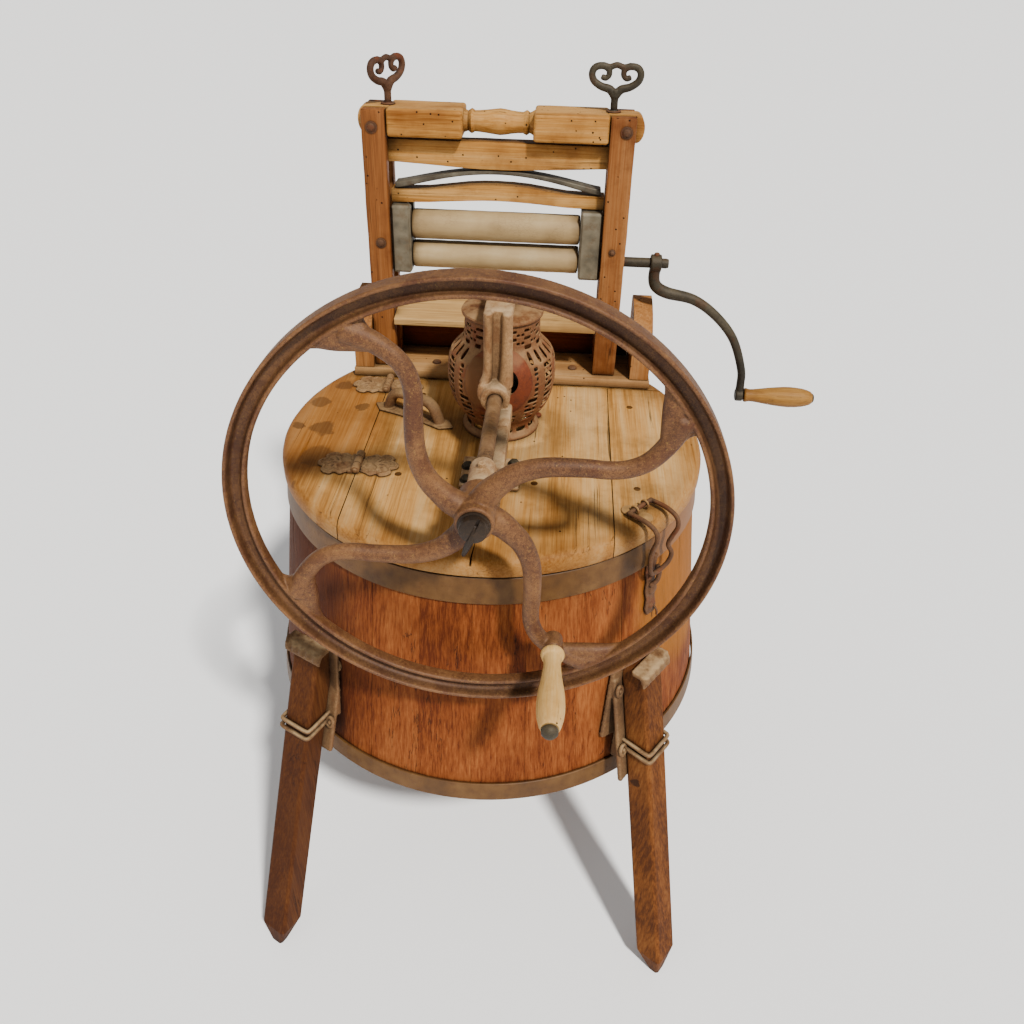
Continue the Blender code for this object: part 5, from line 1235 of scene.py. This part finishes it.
# ---------------------------------------------------------------- mangle working parts
BAR = [(-0.209, 1.06), (-0.165, 1.0584), (-0.12, 1.056), (-0.08, 1.0537), (-0.04, 1.0519), (-0.01, 1.0514),
       (0.02, 1.0519), (0.055, 1.0536), (0.09, 1.0558), (0.135, 1.0582), (0.184, 1.06), (0.184, 1.0935),
       (0.09, 1.0938), (-0.012, 1.0938), (-0.12, 1.0938), (-0.209, 1.0935)]
piece("pressure_board", worn(plate(BAR, 0.1917, 0.2203, "Y", 0.0026, 2, cell=0.011), 0.0006, 26), BEECH_X, "pressure",
      "frame_wood", "pressure_bar", tone=0.58)

ARCH_LOW = [(-0.178, 0.9974), (-0.145, 0.9978), (-0.12, 0.9986), (-0.09, 1.0008), (-0.06, 1.003),
            (-0.035, 1.0041), (-0.0125, 1.0045), (0.01, 1.0041), (0.035, 1.003), (0.065, 1.0008),
            (0.095, 0.9986), (0.12, 0.9978), (0.1524, 0.9974)]
ARCH_HIGH = [(0.1524, 1.0176), (0.12, 1.0178), (0.095, 1.0186), (0.065, 1.0226), (0.035, 1.0268), (0.01, 1.0286),
             (-0.0125, 1.029), (-0.035, 1.0286), (-0.06, 1.0268), (-0.09, 1.0226), (-0.12, 1.0186),
             (-0.145, 1.0178), (-0.178, 1.0176)]
arch = plate(ARCH_LOW + ARCH_HIGH, 0.1922, 0.2198, "Y", 0.0024, 2, cell=0.011)
feet = [box((x - 0.0088, x + 0.0088), (0.1987, 0.2133), (0.97, 1.005), 0.0015) for x in (-0.163, 0.1355)]
piece("spring_board", worn(join(arch, *feet), 0.0006, 26), BEECH_X, "carriage", "frame_wood", "spring_bar", tone=0.52)


def leaf_strip():
    """Bowed spring leaf, lightly dished and with rounded ends."""
    low, high = [], []
    for k in range(61):
        x = -0.1718 + 0.3186 * k / 60
        rise = max(0.0, 1 - ((x + 0.0125) / 0.1595) ** 2) ** 1.3
        low.append((x, 1.018 + 0.0262 * rise))
        high.append((x, 1.0276 + 0.0234 * rise))
    return plate(low + high[::-1], 0.1943, 0.2177, "Y", 0.002, 3)


leaf_obj = piece("leaf_spring_strip", leaf_strip(), STEEL, "carriage", "galvanised", "leaf_spring", smooth=40)
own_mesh(leaf_obj)
for side in ("left", "right"):
    dress("bearing_" + side, ZINC, 0.0014)

ROLL_X = (-0.1475, 0.1182)


def roller(radius, bore, journal, z):
    """Rubber roll with soft shoulders; small shallow bands of wear run around it."""
    x0, x1 = ROLL_X
    profile = [(bore, x0 + 0.0006), (radius - 0.004, x0 + 0.0002), (radius - 0.0016, x0 + 0.0006),
               (radius - 0.0004, x0 + 0.0018)]
    for k in range(1, 48):
        x = x0 + (x1 - x0) * k / 48
        profile.append((radius - 0.00035 * abs(noise.noise(Vector((x * 60, radius * 90, 1.3)))), x))
    profile += [(radius - 0.0004, x1 - 0.0018), (radius - 0.0016, x1 - 0.0006), (radius - 0.004, x1 - 0.0002),
                (bore, x1 - 0.0006)]
    parts = [lathe(profile, "X", (0, MID_Y, z), 64)]
    if journal:
        parts.append(turned([(0.0078, -0.1738), (0.0089, -0.1728), (0.0089, 0.1468), (0.0078, 0.1478)], "X",
                            (0, MID_Y, z), 36))
    return join(*parts)


piece("upper_roll", roller(0.0235, 0.0086, True, UPPER_Z), RUBBER, "upper_roller", "roller_rubber", "upper_roller",
      smooth=40)
piece("lower_roll", roller(0.022, 0.0084, False, LOWER_Z), RUBBER, "lower_roller", "roller_rubber", "lower_roller",
      smooth=40)
shaft = turned([(0.007, -0.1738), (0.008, -0.1728), (0.008, 0.238), (0.008, 0.26), (0.0068, 0.2638)], "X",
               (0, MID_Y, LOWER_Z), 36)
piece("crank_shaft_turned", shaft, CRANK, "lower_roller", "crank_iron", "crank_shaft", smooth=40)

ARM = ((0.2435, 0.905, 0.0092), (0.243, 0.885, 0.0094), (0.249, 0.871, 0.0098), (0.268, 0.861, 0.0098),
       (0.312, 0.851, 0.0086), (0.352, 0.824, 0.0078), (0.386, 0.784, 0.0074), (0.4075, 0.73, 0.007),
       (0.411, 0.7, 0.007), (0.411, 0.683, 0.0074))
ARM_EYE = [(0.0082, 0.235), (0.013, 0.2346), (0.014, 0.2362), (0.014, 0.2508), (0.013, 0.2524), (0.0082, 0.252)]
ARM_END = [(0.001, 0.4046), (0.0098, 0.4046), (0.011, 0.4062), (0.011, 0.4162), (0.01, 0.4174), (0.001, 0.4174)]
arm = join(sweep(curve([(x, MID_Y, z, r) for x, z, r in ARM], 7), sides=24, up=(0, 1, 0)),
           lathe(ARM_EYE, "X", (0, MID_Y, LOWER_Z), 40),
           turned(ARM_END, "X", (0, MID_Y, CRANK_END_Z), 36))
piece("crank_arm_forged", arm, CRANK, "lower_roller", "crank_iron", "crank_arm", voxel=0.0012, soften=3)
crank_bolt = turned([(0.0048, 0.416), (0.0048, 0.536), (0.0076, 0.5362), (0.008, 0.5376), (0.006, 0.5392),
                     (0.0004, 0.5396)], "X", (0, MID_Y, CRANK_END_Z), 30)
piece("crank_bolt", crank_bolt, CRANK, "lower_roller", "crank_iron", smooth=40)
set_screw = turned([(0.0004, LOWER_Z + 0.017), (0.0036, LOWER_Z + 0.0168), (0.0046, LOWER_Z + 0.0155),
                    (0.0046, LOWER_Z + 0.012)], "Z", (0.244, MID_Y, 0), 24)
piece("crank_set_screw", set_screw, RUST_DARK, "lower_roller", "crank_iron", smooth=40)

HANDLE = [(0.0053, 0.4188), (0.0098, 0.4188), (0.0118, 0.42), (0.0125, 0.4228), (0.0112, 0.4265), (0.0108, 0.43),
          (0.0112, 0.436), (0.0125, 0.446), (0.0146, 0.46), (0.0165, 0.476), (0.0175, 0.488), (0.0178, 0.497),
          (0.0172, 0.508), (0.0159, 0.519), (0.014, 0.527), (0.0118, 0.533), (0.0092, 0.536), (0.0053, 0.5362)]
piece("crank_grip_turned", worn(lathe(HANDLE, "X", (0, MID_Y, CRANK_END_Z), 48), 0.0002, 60), GRIP_X_WOOD,
      "crank_grip", "grip_wood", "crank_grip", smooth=60, tone=0.5)


# ---------------------------------------------------------------- pressure screws
def pressure_screw(x, turn):
    """Threaded shank, collar and a ram's horn head forged from one bar."""
    c, s = math.cos(turn), math.sin(turn)
    up = (-s, c, 0)

    def at(a, z, r):
        return (x + a * c, MID_Y + a * s, z, r)

    horn = ((0.0, 1.162, 0.0066), (0.008, 1.1715, 0.0062), (0.021, 1.1755, 0.0056), (0.032, 1.183, 0.0053),
            (0.0352, 1.193, 0.0052), (0.031, 1.201, 0.0052), (0.021, 1.2035, 0.005), (0.012, 1.1995, 0.0046),
            (0.0105, 1.1915, 0.0042), (0.015, 1.1868, 0.004), (0.02, 1.1885, 0.0042))
    parts = [sweep(curve([at(m * a, z, r) for a, z, r in horn], 6), sides=16, up=up) for m in (1, -1)]
    saddle = ((-0.02, 1.2046), (-0.01, 1.2022), (0, 1.205), (0.01, 1.2022), (0.02, 1.2046))
    parts.append(sweep(curve([at(a, z, 0.0044) for a, z in saddle], 6), sides=14, up=up))
    parts.append(turned([(0.0052, 1.144), (0.0055, 1.146), (0.0054, 1.154), (0.0056, 1.161), (0.007, 1.168),
                         (0.006, 1.1725)], "Z", (x, MID_Y, 0), 28))
    head = join(*parts)
    thread = [(0.004, 1.0944)]
    for k in range(21):
        z = 1.0952 + 0.0023 * k
        thread += [(0.005, z), (0.0059, z + 0.00115)]
    thread += [(0.005, 1.1437), (0.005, 1.145)]
    return head, turned(thread, "Z", (x, MID_Y, 0), 36)


for side, x, turn, mat in (("left", SCREWS_X[0], 1.04, SCREW_RUST), ("right", SCREWS_X[1], 0.0, CRANK)):
    head, shank = pressure_screw(x, turn)
    piece("screw_horn_" + side, head, mat, "screw_" + side, "crank_iron", "screw_" + side, voxel=0.0009, soften=3)
    piece("screw_shank_" + side, shank, mat, "screw_" + side, "crank_iron", smooth=20)


# ---------------------------------------------------------------- floor, light and camera
def area_light(name, where, target, size, power, colour=(1, 1, 1)):
    data = bpy.data.lights.new(name, "AREA")
    data.shape, data.size, data.energy, data.color = "DISK", size, power, colour
    lamp = bpy.data.objects.new(name, data)
    lamp.location = where
    lamp.rotation_euler = (Vector(target) - Vector(where)).to_track_quat("-Z", "Y").to_euler()
    bpy.context.scene.collection.objects.link(lamp)


paper = Shader("studio_floor")
paper.bsdf.inputs["Base Color"].default_value = (0.93, 0.93, 0.93, 1)
paper.bsdf.inputs["Roughness"].default_value = 0.9
floor_mesh = bpy.data.meshes.new("floor")
sheet = bmesh.new()
bmesh.ops.create_grid(sheet, x_segments=1, y_segments=1, size=60)
sheet.to_mesh(floor_mesh)
sheet.free()
floor_mesh.materials.append(paper.mat)
floor = bpy.data.objects.new("floor", floor_mesh)
bpy.context.scene.collection.objects.link(floor)

sun = bpy.data.lights.new("key", "SUN")
sun.energy, sun.angle, sun.color = 5.8, 0.09, (1.0, 0.975, 0.93)
sun_obj = bpy.data.objects.new("key", sun)
sun_obj.rotation_euler = (Vector((0, 0, 0)) - Vector((1.35, -2.2, 3.1))).to_track_quat("-Z", "Y").to_euler()
bpy.context.scene.collection.objects.link(sun_obj)
area_light("fill", (-2.4, -2.4, 1.8), (0, 0, 0.5), 2.0, 10, (1.0, 0.99, 0.97))

world = bpy.data.worlds.new("studio")
bpy.context.scene.world = world
world.use_nodes = True
world.node_tree.nodes["Background"].inputs["Color"].default_value = (1, 1, 1, 1)
world.node_tree.nodes["Background"].inputs["Strength"].default_value = 0.45

camera = bpy.data.cameras.new("camera")
camera.sensor_width, camera.lens, camera.shift_y = 36, 31.772, -0.0583
camera_obj = bpy.data.objects.new("camera", camera)
camera_obj.location = (0.0911, -1.1987, 1.4247)
camera_obj.rotation_euler = (1.0076, -0.022, 0.0646)
bpy.context.scene.collection.objects.link(camera_obj)
bpy.context.scene.camera = camera_obj
